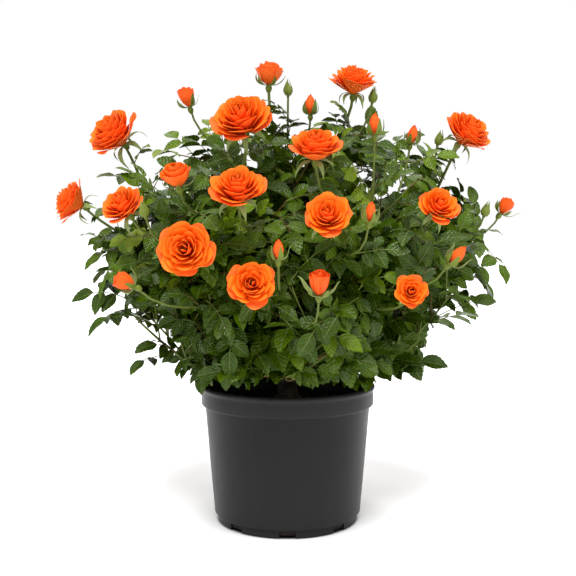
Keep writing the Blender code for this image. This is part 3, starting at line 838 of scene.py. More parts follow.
def leaves_along(shoot, room, tint, draw):
    """Leaves that alternate along a shoot, each turned round it or made smaller where it wouldn't fit.

    Returns them with the share of the shoot at which the last one stands.
    """
    length = line_length(shoot.line)
    height = height_share(shoot.line[-1])
    bare = 1 - blend(*BARE_NECK, height) / length
    bloom_shares = (LEAF_SHARES[0], max(bare, LEAST_LEAFY))
    ends = {"bloom": bloom_shares, "twig": LEAF_SHARES_TWIG, "spray": LEAF_SHARES_SPRAY}
    shares = ends.get(shoot.kind, LEAF_SHARES)
    sizes = LEAF_SIZES_BLOOM if shoot.kind == "bloom" else LEAF_SIZES
    spacing = LEAF_SPACING_BLOOM if shoot.kind == "bloom" else LEAF_SPACING
    count = max(2, round(length * (shares[1] - shares[0]) / spacing))
    leaves, last = [], 0
    for k in range(count):
        share = blend(*shares, k / (count - 1))
        root, heading = line_at(shoot.line, share)
        if shoot.kind in ("leafy", "twig") and in_gap(root):
            continue
        outward = (root - HEART).normalized()
        height = height_share(root)
        droop = blend(*LEAF_DROOP, math.sqrt(height)) * draw.uniform(*DROOP_RANGE)
        stray = Vector([draw.uniform(-FACE_STRAY, FACE_STRAY) for _ in range(3)])
        frontward = FRONT * (LEAF_FRONTWARD * clamp(FRONTWARD_START - root.y / FRONTWARD_DEPTH, 0, 1))
        face = (outward + UP * LEAF_UPWARD + frontward + stray).normalized()
        spin = heading.to_track_quat("Z", "Y")
        size = LEAF_LENGTH * draw.uniform(*sizes) * blend(*LEAF_SCALE, height)
        start = k * GOLDEN_ANGLE + draw.uniform(0, LEAF_STRAY)
        pairs = draw.choices((1, 2, 3), PAIR_WEIGHTS)[0]
        own = tint if draw.random() < TINT_HOLD else draw.choices(TINTS, tint_weights(height))[0]
        for attempt in range(LEAF_TRIES):
            angle = math.radians(start + attempt * 360 / LEAF_TRIES)
            across = ring_point(spin, angle)
            if shoot.kind != "bloom" and k == count - 1 and attempt == 0:
                across = outward * LAST_OUTWARD
            direction = (across + heading * LEAF_FORWARD + outward * LEAF_OUTWARD).normalized()
            shrink = 1 - LEAF_SHRINK * attempt
            leaf = grow_leaf(root, direction, face, size * shrink, pairs, droop, own, draw)
            reach = fill_at(root + direction * (size * 0.6))
            if shoot.kind == "spray" or (shoot.bloom and shoot.bloom.lift > HIGH_BLOOM_LIFT):
                reach = BLOOM_LEAF_ROOM if shoot.bloom else SPRAY_ROOM
            if not room.blocks(leaf_points(leaf), reach):
                leaves.append(leaf)
                last = share
                break
    return leaves, last


def grow_mass(mass, shoots, room):
    draw = random.Random(mass.name)
    stem = Shoot(bezier_line(stem_line(mass), SHOOT_PIECES), "stem", None)
    kept, twigs, leaves = [], [], []
    for shoot in [stem, *shoots]:
        height = height_share(shoot.line[-1])
        weights = tint_weights(height)
        tint = draw.choices(TINTS, weights)[0]
        if shoot is not stem:
            if shoot.bloom and height < OLD_LEAF_HEIGHT:
                tint = min(tint, 1)
            borne, last = leaves_along(shoot, room, tint, draw)
            if shoot.kind != "bloom":
                shoot = trimmed(shoot, max(last, SHORTEST_SHOOT))
            leaves += borne
            kept.append(shoot)
        for twig in side_twigs(shoot, room, draw):
            near = tint if draw.random() < TWIG_TINT_HOLD else draw.choices(TINTS, weights)[0]
            borne, last = leaves_along(twig, room, near, draw)
            if borne:
                leaves += borne
                twigs.append(trimmed(twig, last))
    return Growth(mass, kept, twigs, leaves)


@cache
def grow_bush():
    """The whole bush, worked out once for all pieces: for each mass its shoots, side twigs and leaves."""
    masses = plan_masses()
    blooms = [*FRONT_BLOOMS, *rear_blooms()]
    shoots = plan_shoots(masses, blooms)
    room = Room([*blooms, *SMALL_BUDS])
    return [grow_mass(mass, shoots[mass.name], room) for mass in masses]


# ---- joined meshes from arrays ------------------------------------------------------------------

Shape = namedtuple("Shape", "corners sizes uvs")


def shape_of(faces, uvs):
    """A shape's faces in arrays: the corners of all faces in a row, their counts, and UVs by corner."""
    corners = np.array([corner for face in faces for corner in face])
    return Shape(corners, np.array([len(face) for face in faces]), np.asarray(uvs, float)[corners])


class Heap:
    """Many small things gathered in arrays for one joined mesh."""

    def __init__(self):
        self.points, self.corners, self.sizes, self.uvs, self.slots = [], [], [], [], []
        self.count = 0

    def add(self, points, shape, slots):
        """Adds copies of a shape: points by copy, and a material slot for each face of each copy."""
        points = np.asarray(points, float)
        copies, each = points.shape[:2]
        starts = self.count + np.arange(copies)[:, None] * each
        self.points.append(points.reshape(-1, 3))
        self.corners.append((shape.corners + starts).ravel())
        self.sizes.append(np.tile(shape.sizes, copies))
        self.uvs.append(np.tile(shape.uvs, (copies, 1)))
        self.slots.append(np.broadcast_to(slots, (copies, len(shape.sizes))).ravel())
        self.count += copies * each

    def build(self, name, materials, sharp=60):
        """Makes the joined mesh, smooth but for edges sharper than an angle in degrees."""
        sizes = np.concatenate(self.sizes)
        mesh = bpy.data.meshes.new(name)
        mesh.vertices.add(self.count)
        mesh.vertices.foreach_set("co", np.concatenate(self.points).ravel())
        mesh.loops.add(int(sizes.sum()))
        mesh.loops.foreach_set("vertex_index", np.concatenate(self.corners))
        mesh.polygons.add(len(sizes))
        mesh.polygons.foreach_set("loop_start", np.cumsum(sizes) - sizes)
        mesh.polygons.foreach_set("material_index", np.concatenate(self.slots))
        mesh.uv_layers.new(name="UVMap").data.foreach_set("uv", np.concatenate(self.uvs).ravel())
        mesh.update(calc_edges=True)
        mesh.validate()
        return link_piece(name, mesh, materials, sharp)


def smooth(mesh, sharp):
    """Makes a mesh smooth but for edges sharper than an angle in degrees."""
    mesh.shade_smooth()
    mesh.set_sharp_from_angle(angle=math.radians(sharp))


def link_piece(name, mesh, materials, sharp):
    """A smooth mesh in the scene, with its materials."""
    smooth(mesh, sharp)
    for material in materials:
        mesh.materials.append(material)
    piece = bpy.data.objects.new(name, mesh)
    bpy.context.scene.collection.objects.link(piece)
    return piece


def settle(piece, nodes):
    """Puts a piece on the one body, in place of its solids."""
    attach(piece, "root")
    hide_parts(*nodes)


def unit(vectors):
    return vectors / np.linalg.norm(vectors, axis=-1, keepdims=True)


def add_tubes(heap, lines, radii, sides, slots):
    """Adds round limbs with closed ends along lines that have the same count of points."""
    lines = np.array(lines, float)
    copies, count = lines.shape[:2]
    along = unit(np.gradient(lines, axis=1))
    lead = np.eye(3)[np.abs(along.mean(axis=1)).argmin(axis=1)][:, None]
    side = unit(np.cross(lead, along))
    up = np.cross(along, side)
    angles = np.arange(sides) * math.tau / sides
    rings = side[:, :, None] * np.cos(angles)[:, None] + up[:, :, None] * np.sin(angles)[:, None]
    points = lines[:, :, None] + rings * np.asarray(radii)[..., None, None]
    faces = [range(sides - 1, -1, -1), range((count - 1) * sides, count * sides)]
    for row in range(count - 1):
        for k in range(sides):
            near = (k + 1) % sides
            low, high = row * sides, (row + 1) * sides
            faces.append((low + k, low + near, high + near, high + k))
    uvs = [(k / sides, row / (count - 1)) for row in range(count) for k in range(sides)]
    slots = np.broadcast_to(np.reshape(slots, (-1, 1)), (copies, len(faces)))
    heap.add(points.reshape(copies, -1, 3), shape_of(faces, uvs), slots)


def add_lathe(heap, base, axis, profile, sides, slot):
    """Adds a shape turned about an axis, from (radius, height) pairs that start and end on it."""
    spin = turned_to(axis)
    angles = np.arange(sides) * math.tau / sides
    rings = [(r * math.cos(a), r * math.sin(a), h) for r, h in profile[1:-1] for a in angles]
    local = np.array([(0, 0, profile[0][1]), *rings, (0, 0, profile[-1][1])])
    faces, last = [], len(local) - 1
    for k in range(sides):
        near = (k + 1) % sides
        faces.append((0, 1 + near, 1 + k))
        faces.append((last, last - sides + k, last - sides + near))
        for row in range(len(profile) - 3):
            low, high = 1 + row * sides, 1 + (row + 1) * sides
            faces.append((low + k, low + near, high + near, high + k))
    uvs = np.zeros((len(local), 2))
    heap.add([local @ spin.T + np.array(base)], shape_of(faces, uvs), slot)


# ---- leaves -------------------------------------------------------------------------------------


def leaflet_outline():
    """Flat points of a leaflet a unit long: rib, tip, notches and teeth, with their faces."""
    half = lambda share: LEAFLET_WIDTH * math.sin(math.pi * share**LEAFLET_LEAD) ** LEAFLET_FULLNESS
    steps, signs = range(TOOTH_COUNT), (1, -1)
    ribs = [
        (k / TOOTH_COUNT, sign * RIB_WIDTH * (1 - RIB_TAPER * k / TOOTH_COUNT))
        for sign in signs
        for k in steps
    ]
    notches = [
        (k / TOOTH_COUNT, sign * (half(k / TOOTH_COUNT) - NOTCH_DEPTH_LEAF))
        for sign in signs
        for k in steps[1:]
    ]
    reach = [half((k + TOOTH_ROOT) / TOOTH_COUNT) + TOOTH_LENGTH * (1 - k / TOOTH_FADE) for k in steps]
    teeth = [((k + TOOTH_TIP) / TOOTH_COUNT, sign * reach[k]) for sign in signs for k in steps]
    tip = 2 * TOOTH_COUNT
    rib = lambda side, k: tip if k == TOOTH_COUNT else side * TOOTH_COUNT + k
    edge = lambda side, k: rib(side, k) if k in (0, TOOTH_COUNT) else tip + k + side * (TOOTH_COUNT - 1)
    tooth = lambda side, k: tip + 1 + 2 * (TOOTH_COUNT - 1) + side * TOOTH_COUNT + k
    faces, is_rib = [], []
    for k in steps:
        for side in (0, 1):
            face = [rib(side, k), rib(side, k + 1), edge(side, k + 1), tooth(side, k), edge(side, k)]
            faces.append(list(dict.fromkeys(face))[:: -1 if side else 1])
            is_rib.append(False)
        faces.append(list(dict.fromkeys([rib(0, k), rib(1, k), rib(1, k + 1), rib(0, k + 1)])))
        is_rib.append(True)
    return np.array([*ribs, (1, 0), *notches, *teeth]), faces, np.array(is_rib)


def leaflet_points(flat, fold, bend, twist, wave):
    """The flat leaflet folded at its midrib, twisted, bent down along it and waved at its edges."""
    along, across = flat.T
    fold, bend, twist = map(math.radians, (fold, bend, twist))
    width = np.abs(across)
    ripple = wave * np.sin(along * WAVE_COUNT + np.sign(across)) * width / LEAFLET_WIDTH
    side, rise = across * math.cos(fold), width * math.sin(fold) - width**2 * LEAFLET_HOLLOW + ripple
    turn = twist * along
    side, rise = side * np.cos(turn) - rise * np.sin(turn), side * np.sin(turn) + rise * np.cos(turn)
    angle = bend * along
    out = np.sin(angle) / bend + rise * np.sin(angle)
    up = (np.cos(angle) - 1) / bend + rise * np.cos(angle)
    return np.stack([out, side, up], axis=1)


def leaves_heap(growths):
    """All leaflets of some masses, each a bent copy of one of the forms."""
    flat, faces, is_rib = leaflet_outline()
    shape = shape_of(faces, np.stack([flat[:, 0], 0.5 + flat[:, 1]], axis=1))
    forms = [leaflet_points(flat, *form) for form in LEAFLET_FORMS]
    buckets = [([], [], []) for _ in forms]
    draw = random.Random("leaflets " + growths[0].mass.name)
    for growth in growths:
        for leaf in growth.leaves:
            for root, direction, face, length in leaf.leaflets:
                side = face.cross(direction).normalized()
                up = direction.cross(side)
                frames, roots, tints = buckets[draw.randrange(len(forms))]
                frames.append([direction * length, side * length, up * length])
                roots.append(root)
                tints.append(leaf.tint)
    heap = Heap()
    for form, (frames, roots, tints) in zip(forms, buckets):
        points = form @ np.array(frames, float) + np.array(roots, float)[:, None]
        slots = np.where(is_rib, MIDRIB, np.array(tints)[:, None])
        heap.add(points, shape, slots)
    return heap


# ---- blooms -------------------------------------------------------------------------------------


def sheet_shape(rows, columns):
    """A closed thin sheet: a front and a back grid of faces, and the rim that joins them."""
    wide = columns + 1
    back = (rows + 1) * wide
    faces = []
    for r in range(rows):
        for c in range(columns):
            low, high = r * wide + c, (r + 1) * wide + c
            faces.append((low, high, high + 1, low + 1))
    faces += [tuple(back + corner for corner in reversed(face)) for face in faces]
    for r in range(rows):
        low, high = r * wide, (r + 1) * wide
        faces.append((low, back + low, back + high, high))
        faces.append((high + columns, back + high + columns, back + low + columns, low + columns))
    for c in range(columns):
        high = rows * wide + c
        faces.append((high, back + high, back + high + 1, high + 1))
        faces.append((c + 1, back + c + 1, back + c, c))
    uvs = [(c / columns, r / rows) for _ in range(2) for r in range(rows + 1) for c in range(wide)]
    return shape_of(faces, uvs)


def add_sheets(heap, sheets, thickness, slots):
    """Adds thin sheets from grids of points by (copy, row, column), with slots for rows, back and rim."""
    rows, columns = sheets.shape[1] - 1, sheets.shape[2] - 1
    shape = sheet_shape(rows, columns)
    normals = unit(np.cross(np.gradient(sheets, axis=1), np.gradient(sheets, axis=2)))
    points = np.stack([sheets, sheets - normals * thickness], axis=1).reshape(len(sheets), -1, 3)
    by_row, back, rim = slots
    front = np.repeat(np.asarray(by_row), columns, axis=-1)
    rest = [back] * (rows * columns) + [rim] * (2 * rows + 2 * columns)
    parts = [np.broadcast_to(part, (len(sheets), np.shape(part)[-1])) for part in (front, rest)]
    heap.add(points, shape, np.concatenate(parts, axis=1))


def petal_sheets(kind, corner, shares, turns, grid, draw):
    """Petals in the bloom's own frame, a unit wide: each spans an angle round it and rises along its line."""
    rows, columns = grid
    share = np.asarray(shares)[:, None, None]
    calm = 1 - CALM_HEART * share
    v = np.linspace(0, 1, rows + 1)[:, None]
    u = np.linspace(-1, 1, columns + 1)[None]
    keys = np.linspace(0, 1, 5)
    bend_out, bend_up, tip_out, tip_up, half_turn, flat, roll = (
        np.interp(share, keys, row) for row in kind[2:]
    )
    noisy = lambda low, high: np.array([draw.uniform(low, high) for _ in shares])[:, None, None]
    tip_out = tip_out * noisy(*TIP_OUTS)
    tip_up = tip_up + noisy(*TIP_UPS)
    q = v * (1 - corner * np.abs(u) ** CORNER_POWER * v)
    q = q * (1 + noisy(*POINTS) * np.exp(-((u / POINT_WIDTH) ** 2)) * v)
    out = 2 * q * (1 - q) * bend_out + q * q * tip_out + PETAL_FOOT * (1 - q)
    up = (1 - q) ** 2 * kind.base + 2 * q * (1 - q) * bend_up + q * q * tip_up
    phase, count = noisy(0, math.tau), noisy(*RIPPLE_COUNTS)
    ripple = np.sin(u * count * math.pi / 2 + phase) * PETAL_WAVE * calm
    out = out + roll * ROLL_OUT * q**ROLL_POWER + PETAL_LAP * u * q * calm + ripple * 0.7 * q**3
    up = up - roll * q**ROLL_POWER + ripple * q**2
    widening = np.sin(np.clip(q / CLAW_LENGTH, 0, 1) * math.pi / 2)
    angle = u * np.radians(half_turn) * (PETAL_CLAW + (1 - PETAL_CLAW) * widening)
    out = out / np.cos(angle * flat)
    angle = angle + np.asarray(turns)[:, None, None]
    return np.stack([out * np.cos(angle), out * np.sin(angle), up], axis=-1)


def place(points, bloom):
    """Points of a bloom's own frame, a unit wide, in the object's frame."""
    spin = turned_to(bloom_look(bloom))
    return points * bloom.width @ spin.T + np.array(bloom_centre(bloom))


def add_petals(heap, bloom):
    """Petals from the outermost in, each turned by the golden angle from the last."""
    kind = KINDS[bloom.kind]
    draw = random.Random(f"{bloom.kind} {bloom.bearing:.1f} {bloom.lift:.1f}")
    closed = bloom.kind in CLOSED_KINDS
    count = kind.petals
    if bloom.kind == "open":
        count = round(count * clamp(bloom.width / FULL_WIDTH, *COUNT_RANGE))
    order = np.arange(count)
    rings = (order // RING_PETALS) * RING_PETALS + (RING_PETALS - 1) / 2
    shares = np.clip(blend(order, rings, RING_SHARE) / (count - 1), 0, 1)
    strays = [draw.uniform(-TURN_STRAY, TURN_STRAY) for _ in order]
    turns = np.array([math.radians(k * GOLDEN_ANGLE + stray) for k, stray in enumerate(strays)])
    for grid, chosen in ((PETAL_GRID, shares <= INNER_SHARE), (INNER_GRID, shares > INNER_SHARE)):
        sheets = petal_sheets(kind, PETAL_CORNERS[bloom.kind], shares[chosen], turns[chosen], grid, draw)
        rows = np.arange(grid[0])
        # painted shade: the rows nearest each petal's base take the heart's deeper colour
        deep = rows < grid[0] * np.interp(shares[chosen], (0, 1), PAINTED_SHADE_ROWS)[:, None]
        outer = (shares[chosen] < OUTER_SHARE)[:, None]
        # painted highlight: the last row, with the edges, takes the rim's lighter colour
        by_row = np.where(outer, OUTER, np.where(deep, PAINTED_HEART_SHADE, np.where(rows == grid[0] - 1, PAINTED_RIM_HIGHLIGHT, FACE)))
        slots = (np.full_like(by_row, BUD), BUD, BUD) if closed else (by_row, BACK, PAINTED_RIM_HIGHLIGHT)
        add_sheets(heap, place(sheets, bloom), PETAL_THICKNESS, slots)


def sepal_sheets(bloom, draw):
    """Sepals round a bloom's foot: hanging under an open bloom, spread or upright round a bud."""
    rows, columns = SEPAL_GRID
    calyx = CALYXES[bloom.kind]
    q = np.linspace(0, 1, rows + 1)[:, None]
    bulge = np.sin((SEPAL_START + (1 - SEPAL_START) * q) * math.pi)
    half = calyx.half_width * np.maximum(bulge, SEPAL_TIP)
    across = np.linspace(-1, 1, columns + 1) * half
    sheets = []
    for k in range(SEPAL_COUNT):
        turn = math.radians(k * 360 / SEPAL_COUNT + draw.uniform(-SEPAL_STRAY, SEPAL_STRAY))
        size = draw.uniform(*SEPAL_SIZES)
        stray = [draw.uniform(-calyx.stray, calyx.stray), draw.uniform(-calyx.stray, 0) * 0.6]
        end = np.array(calyx.tip) + stray
        start = np.array([calyx.hip * SEPAL_ROOT / bloom.width, 0])
        lead, bend = np.array(calyx.lead), np.array(calyx.turn)
        line = (1 - q) ** 3 * start + 3 * q * (1 - q) ** 2 * lead + 3 * q * q * (1 - q) * bend + q**3 * end
        out, up = line[:, :1] * size, line[:, 1:] * size
        angle = turn + across / np.maximum(out, 0.15) * 0.8
        radius = out + np.abs(across) * SEPAL_CUP[0]
        up = up + np.abs(across) * SEPAL_CUP[1]
        sheets.append(np.stack([radius * np.cos(angle), radius * np.sin(angle), up], axis=-1))
    return np.array(sheets) * bloom.width


def add_sepals(heap, bloom):
    """Sepals and hip of a bloom, the body of a green bud or the centre of an open bloom."""
    draw = random.Random(f"sepals {bloom.bearing:.1f} {bloom.lift:.1f}")
    foot, look = bloom_foot(bloom), bloom_look(bloom)
    sheets = sepal_sheets(bloom, draw) @ turned_to(look).T + np.array(foot)
    add_sheets(heap, sheets, SEPAL_THICKNESS, ([LINING] * SEPAL_GRID[0], SEPAL, LINING))
    radius = CALYXES[bloom.kind].hip
    hip = [(r * radius, h * radius * HIP_LENGTH) for r, h in HIP_SHAPE]
    add_lathe(heap, foot, look, hip, HIP_SIDES, SEPAL)
    if bloom.kind == "green":
        body = [(r * bloom.width, h * bloom.width) for r, h in GREEN_BUD_SHAPE]
        add_lathe(heap, foot, look, body, GREEN_BUD_SIDES, SEPAL)
    if bloom.kind == "open":
        body = [(r * bloom.width, h * bloom.width) for r, h in CENTRE_SHAPE]
        add_lathe(heap, bloom_centre(bloom), look, body, CENTRE_SIDES, CENTRE)


# ---- shaders ------------------------------------------------------------------------------------


class Value:
    """A shader socket on which arithmetic adds Math nodes."""

    def __init__(self, shader, socket):
        self.shader, self.socket = shader, socket

    def math(self, operation, *values):
        inputs = dict(enumerate(values))
        return self.shader.node("ShaderNodeMath", {"operation": operation}, inputs)

    def __add__(self, other):
        return self.math("ADD", self, other)

    def __sub__(self, other):
        return self.math("SUBTRACT", self, other)

    def __rsub__(self, other):
        return self.math("SUBTRACT", other, self)

    def __mul__(self, other):
        return self.math("MULTIPLY", self, other)

    def __mod__(self, other):
        return self.math("FLOORED_MODULO", self, other)

    def __abs__(self):
        return self.math("ABSOLUTE", self)

    __radd__ = __add__
    __rmul__ = __mul__


class Shader:
    """A material's node tree, with its Principled shader ready to be set."""

    def __init__(self, name):
        self.material = bpy.data.materials.new(name)
        self.material.use_nodes = True
        self.tree = self.material.node_tree
        self.principled = self.tree.nodes["Principled BSDF"]

    def node(self, kind, settings=None, inputs=None, output=0):
        """A node with its settings, then its sockets' values or links. Returns one of its outputs."""
        made = self.tree.nodes.new(kind)
        for name, value in (settings or {}).items():
            setattr(made, name, value)
        for key, value in (inputs or {}).items():
            self.feed(made.inputs[key], value)
        return Value(self, made.outputs[output])

    def feed(self, socket, value):
        if isinstance(value, Value):
            self.tree.links.new(value.socket, socket)
        else:
            socket.default_value = value

    def set(self, **sockets):
        """Sets the Principled shader's sockets, by names in which _ stands for a space."""
        for name, value in sockets.items():
            self.feed(self.principled.inputs[name.replace("_", " ")], value)
        return self.material

    def place(self):
        return self.node("ShaderNodeTexCoord", output="Object")

    def along(self):
        """The two UV values of a joined mesh."""
        uv = self.node("ShaderNodeUVMap", {"uv_map": "UVMap"})
        parts = self.tree.nodes.new("ShaderNodeSeparateXYZ")
        self.feed(parts.inputs[0], uv)
        return Value(self, parts.outputs[0]), Value(self, parts.outputs[1])

    def noise(self, scale, detail=3, roughness=0.55, vector=None):
        inputs = {"Vector": vector or self.place(), "Scale": scale, "Detail": detail, "Roughness": roughness}
        return self.node("ShaderNodeTexNoise", None, inputs, "Fac")

    def mix(self, share, first, second):
        """Blends two colours."""
        settings = {"data_type": "RGBA", "clamp_factor": True}
        return self.node("ShaderNodeMix", settings, {0: share, 6: first, 7: second}, 2)

    def ramp(self, value, low, high):
        """A value spread from a range to 0 to 1, and held there."""
        inputs = {"Value": value, "From Min": low, "From Max": high}
        return self.node("ShaderNodeMapRange", {"clamp": True}, inputs)

    def bump(self, height, strength, distance):
        inputs = {"Height": height, "Strength": strength, "Distance": distance}
        return self.node("ShaderNodeBump", None, inputs)

    def stretched(self, scale):
        """Object coordinates, stretched along Z by a scale below one."""
        return self.node("ShaderNodeMapping", None, {"Vector": self.place(), "Scale": (1, 1, scale)})


def solid(colour, gain=1.0):
    return (*(min(1.0, channel * gain) for channel in colour[:3]), 1)


def leaf_material(name, colour, rib, gloss):
    """A leaf's upper skin: mottled green, puckered between its side veins, with a soft gloss."""
    shader = Shader(name)
    mottle = shader.ramp(shader.noise(140, 4), 0.3, 0.7)
    base = shader.mix(mottle, solid(colour, 0.78), solid(colour, 1.22))
    along, across = shader.along()
    vein = (along * 5.5 - abs(across - 0.5) * 6) % 1 - 0.5
    pucker = 1 - vein * vein * 4
    base = shader.mix(shader.ramp(pucker, 0.30, 0.0) * 0.16, base, solid(rib))
    height = pucker * 0.35 + shader.noise(260, 2) * 1.2
    return shader.set(
        Specular_IOR_Level=LEAF_SHINE,
        Base_Color=base,
        Roughness=shader.noise(60, 2) * 0.18 + gloss,
        Normal=shader.bump(height, 0.75, 0.0014),
    )


def plain_material(name, colour, roughness):
    """A fine-grained skin of one colour."""
    shader = Shader(name)
    share = shader.noise(300, 3)
    return shader.set(
        Specular_IOR_Level=LEAF_SHINE,
        Base_Color=shader.mix(share, solid(colour, 0.75), solid(colour, 1.25)),
        Roughness=shader.noise(300, 2) * 0.15 + roughness,
        Normal=shader.bump(share, 0.3, 0.0003),
    )


def petal_material(name, colour):
    """A petal's velvet skin, with fine veins that run from its base to its rim."""
    shader = Shader(name)
    across, along = shader.along()
    strip = shader.node("ShaderNodeCombineXYZ", None, {0: across * 11, 1: along * 1.2})
    vein = shader.noise(1.0, 3, vector=strip)
    base = shader.mix(shader.ramp(vein, 0.3, 0.7), solid(colour, 0.88), solid(colour, 1.08))
    return shader.set(
        Specular_IOR_Level=0.15,
        Base_Color=base,
        Roughness=vein * 0.1 + 0.48,
        Normal=shader.bump(vein, 0.10, 0.0004),
    )


def bark_material(name, colour, ridge):
    """Bark in the object's own place: streaked along its height and finely cracked."""
    shader = Shader(name)
    streak = shader.noise(260, 5, vector=shader.stretched(0.35))
    spot = shader.ramp(shader.noise(90, 2), 0.35, 0.65)
    dark = shader.mix(streak, solid(colour, 0.45), solid(colour, 1.25))
    base = shader.mix(spot, dark, solid(ridge))
    return shader.set(Base_Color=base, Roughness=streak * 0.3 + 0.5, Normal=shader.bump(streak, 0.6, 0.0008))


def pot_material(colour):
    """Moulded plastic: a fine matte grain with faint scuffs, with the rim band painted a little paler, as
    painted light against the shade that the foliage casts on it.
    """
    shader = Shader("moulded plastic")
    pale = solid(colour, 1.9)
    scuff = shader.ramp(shader.noise(55, 5, 0.65, shader.stretched(0.12)), 0.52, 0.78)
    height = shader.node("ShaderNodeSeparateXYZ", None, {0: shader.place()}, 2)
    # painted light: above the band's foot the colour is paler, against the foliage's shade on the band
    band = shader.ramp(height, BAND_FOOT - 0.001, BAND_FOOT + 0.001)
    base = shader.mix(band * 0.6, shader.mix(scuff * 0.35, solid(colour), pale), pale)
    relief = shader.noise(2400, 2) * 0.6 + shader.noise(30, 2) * 1.6
    return shader.set(
        Specular_IOR_Level=0.12,
        Base_Color=base,
        Roughness=scuff * 0.12 + shader.noise(40, 3) * 0.10 + 0.32,
        Normal=shader.bump(relief, 0.10, 0.0006),
    )


def compost_material(colour):
    """Moist peat: dark crumbs with paler fibres, in a colour darkened beyond the peat's own as painted shade
    of the pot's inside.
    """
    shader = Shader("peat")
    crumb = shader.noise(420, 6, 0.7)
    fibre = shader.ramp(shader.noise(190, 4, 0.6), 0.60, 0.72)
    crumbs = shader.mix(crumb, solid(colour, 0.35), solid(colour, 1.5))
    base = shader.mix(fibre * 0.5, crumbs, solid(colour, 3.0))
    return shader.set(Base_Color=base, Roughness=0.95, Normal=shader.bump(crumb, 0.9, 0.002))


# ---- pieces of the pot and the canes ------------------------------------------------------------


def arc(out, up, radius, start, end, steps):
    """(radius, height) points of an arc in a profile, between two angles in degrees."""
    angles = [math.radians(blend(start, end, k / steps)) for k in range(steps + 1)]
    return [(out + radius * math.cos(a), up + radius * math.sin(a)) for a in angles]


def spin_profile(profile, steps):
    """A bmesh turned about Z from (radius, height) points."""
    bm = bmesh.new()
    verts = [bm.verts.new((radius, 0, height)) for radius, height in profile]
    edges = [bm.edges.new(pair) for pair in zip(verts, verts[1:])]
    turn = {"cent": (0, 0, 0), "axis": (0, 0, 1), "angle": math.tau, "steps": steps}
    bmesh.ops.spin(bm, geom=verts + edges, use_merge=True, **turn)
    bmesh.ops.remove_doubles(bm, verts=bm.verts, dist=1e-6)
    return bm


def finish_piece(name, bm, materials, sharp=POT_SHARP):
    """Turns a bmesh into a linked piece, with its faces outward and smooth but for its sharp edges."""
    mesh = bpy.data.meshes.new(name)
    bmesh.ops.recalc_face_normals(bm, faces=bm.faces)
    bm.to_mesh(mesh)
    bm.free()
    return link_piece(name, mesh, materials, sharp)


def wall_radius(height):
    """Outer radius of the tapered wall, below the band and above the foot."""
    share = (height - FOOT_HEIGHT) / (BAND_FOOT - FOOT_HEIGHT)
    return blend(WALL_FOOT_RADIUS, RIM_RADIUS - BAND_OVERHANG, share)


def pot_profile():
    """The pot's section, from the middle of its underside up the outside and down the inside."""
    bead = BEAD_RADIUS
    band_radius = RIM_RADIUS - BAND_INSET
    inner_rim = RIM_RADIUS - RIM_WIDTH
    inner_top = wall_radius(BAND_FOOT) - WALL_THICKNESS
    return [
        (0, 0),
        (FOOT_RADIUS - 0.004, 0),
        *arc(FOOT_RADIUS - 0.0008, 0.0008, 0.0008, -90, 0, 3),
        (FOOT_RADIUS, FOOT_HEIGHT - 0.0006),
        *arc(WALL_FOOT_RADIUS - 0.0010, FOOT_HEIGHT + 0.0008, 0.0010, -60, 0, 3),
        (wall_radius(0.05), 0.05),
        (wall_radius(0.09), 0.09),
        (wall_radius(BAND_FOOT - 0.003), BAND_FOOT - 0.003),
        *arc(wall_radius(BAND_FOOT) + 0.0016, BAND_FOOT - 0.0016, 0.0016, 180, 90, 3),
        *arc(band_radius - 0.0020, BAND_FOOT + 0.0020, 0.0020, -90, 0, 5),
        (band_radius - 0.0001, BAND_FOOT + 0.012),
        (band_radius - 0.0004, POT_HEIGHT - 2 * bead - 0.0012),
        *arc(RIM_RADIUS - bead, POT_HEIGHT - bead, bead, -62, 90, 8),
        *arc(inner_rim + 0.0010, POT_HEIGHT - 0.0010, 0.0010, 90, 180, 3),
        (inner_rim, BAND_FOOT + 0.005),
        (inner_top, BAND_FOOT - 0.002),
        (FOOT_RADIUS - WALL_THICKNESS, FLOOR_THICKNESS),
        (0, FLOOR_THICKNESS),
    ]


def make_pot(colour):
    """The pot, with drainage notches cut out of the wall's foot and the edge of the floor."""
    pot = finish_piece("nursery_pot", spin_profile(pot_profile(), POT_STEPS), [pot_material(colour)])
    outer, inner, below = WALL_FOOT_RADIUS + 0.005, FOOT_RADIUS - NOTCH_DEPTH, 0.002  # the cutters' reach
    bm = bmesh.new()
    for k in range(NOTCH_COUNT):
        turn = Matrix.Rotation(k * math.tau / NOTCH_COUNT, 4, "Z")
        shift = Matrix.Translation((0, -(outer + inner) / 2, (NOTCH_HEIGHT - below) / 2))
        scale = Matrix.Diagonal((NOTCH_WIDTH, outer - inner, NOTCH_HEIGHT + below, 1))
        bmesh.ops.create_cube(bm, size=1, matrix=turn @ shift @ scale)
    corners = [edge for edge in bm.edges if edge.verts[0].co.z > 0 and is_radial(edge)]
    rounding = {"offset": NOTCH_ROUND, "affect": "EDGES", "segments": 3, "profile": 0.5, "material": -1}
    bmesh.ops.bevel(bm, geom=corners, **rounding)
    cutter = finish_piece("notch_cutter", bm, [])
    cut = pot.modifiers.new("drainage notches", "BOOLEAN")
    cut.object = cutter
    cut.solver = "EXACT"
    bake_modifiers(pot)
    bpy.data.objects.remove(cutter)
    smooth(pot.data, POT_SHARP)
    settle(pot, ["pot"])


def is_radial(edge):
    """Whether an edge is level and runs towards the Z axis."""
    first, second = (vert.co for vert in edge.verts)
    step, middle = second - first, (first + second) / 2
    return abs(step.z) < 1e-6 and abs(step.xy.normalized().dot(middle.xy.normalized())) > 0.9


def bake_modifiers(piece):
    """Applies a piece's modifiers to its mesh."""
    graph = bpy.context.evaluated_depsgraph_get()
    mesh = bpy.data.meshes.new_from_object(piece.evaluated_get(graph))
    piece.modifiers.clear()
    piece.data = mesh


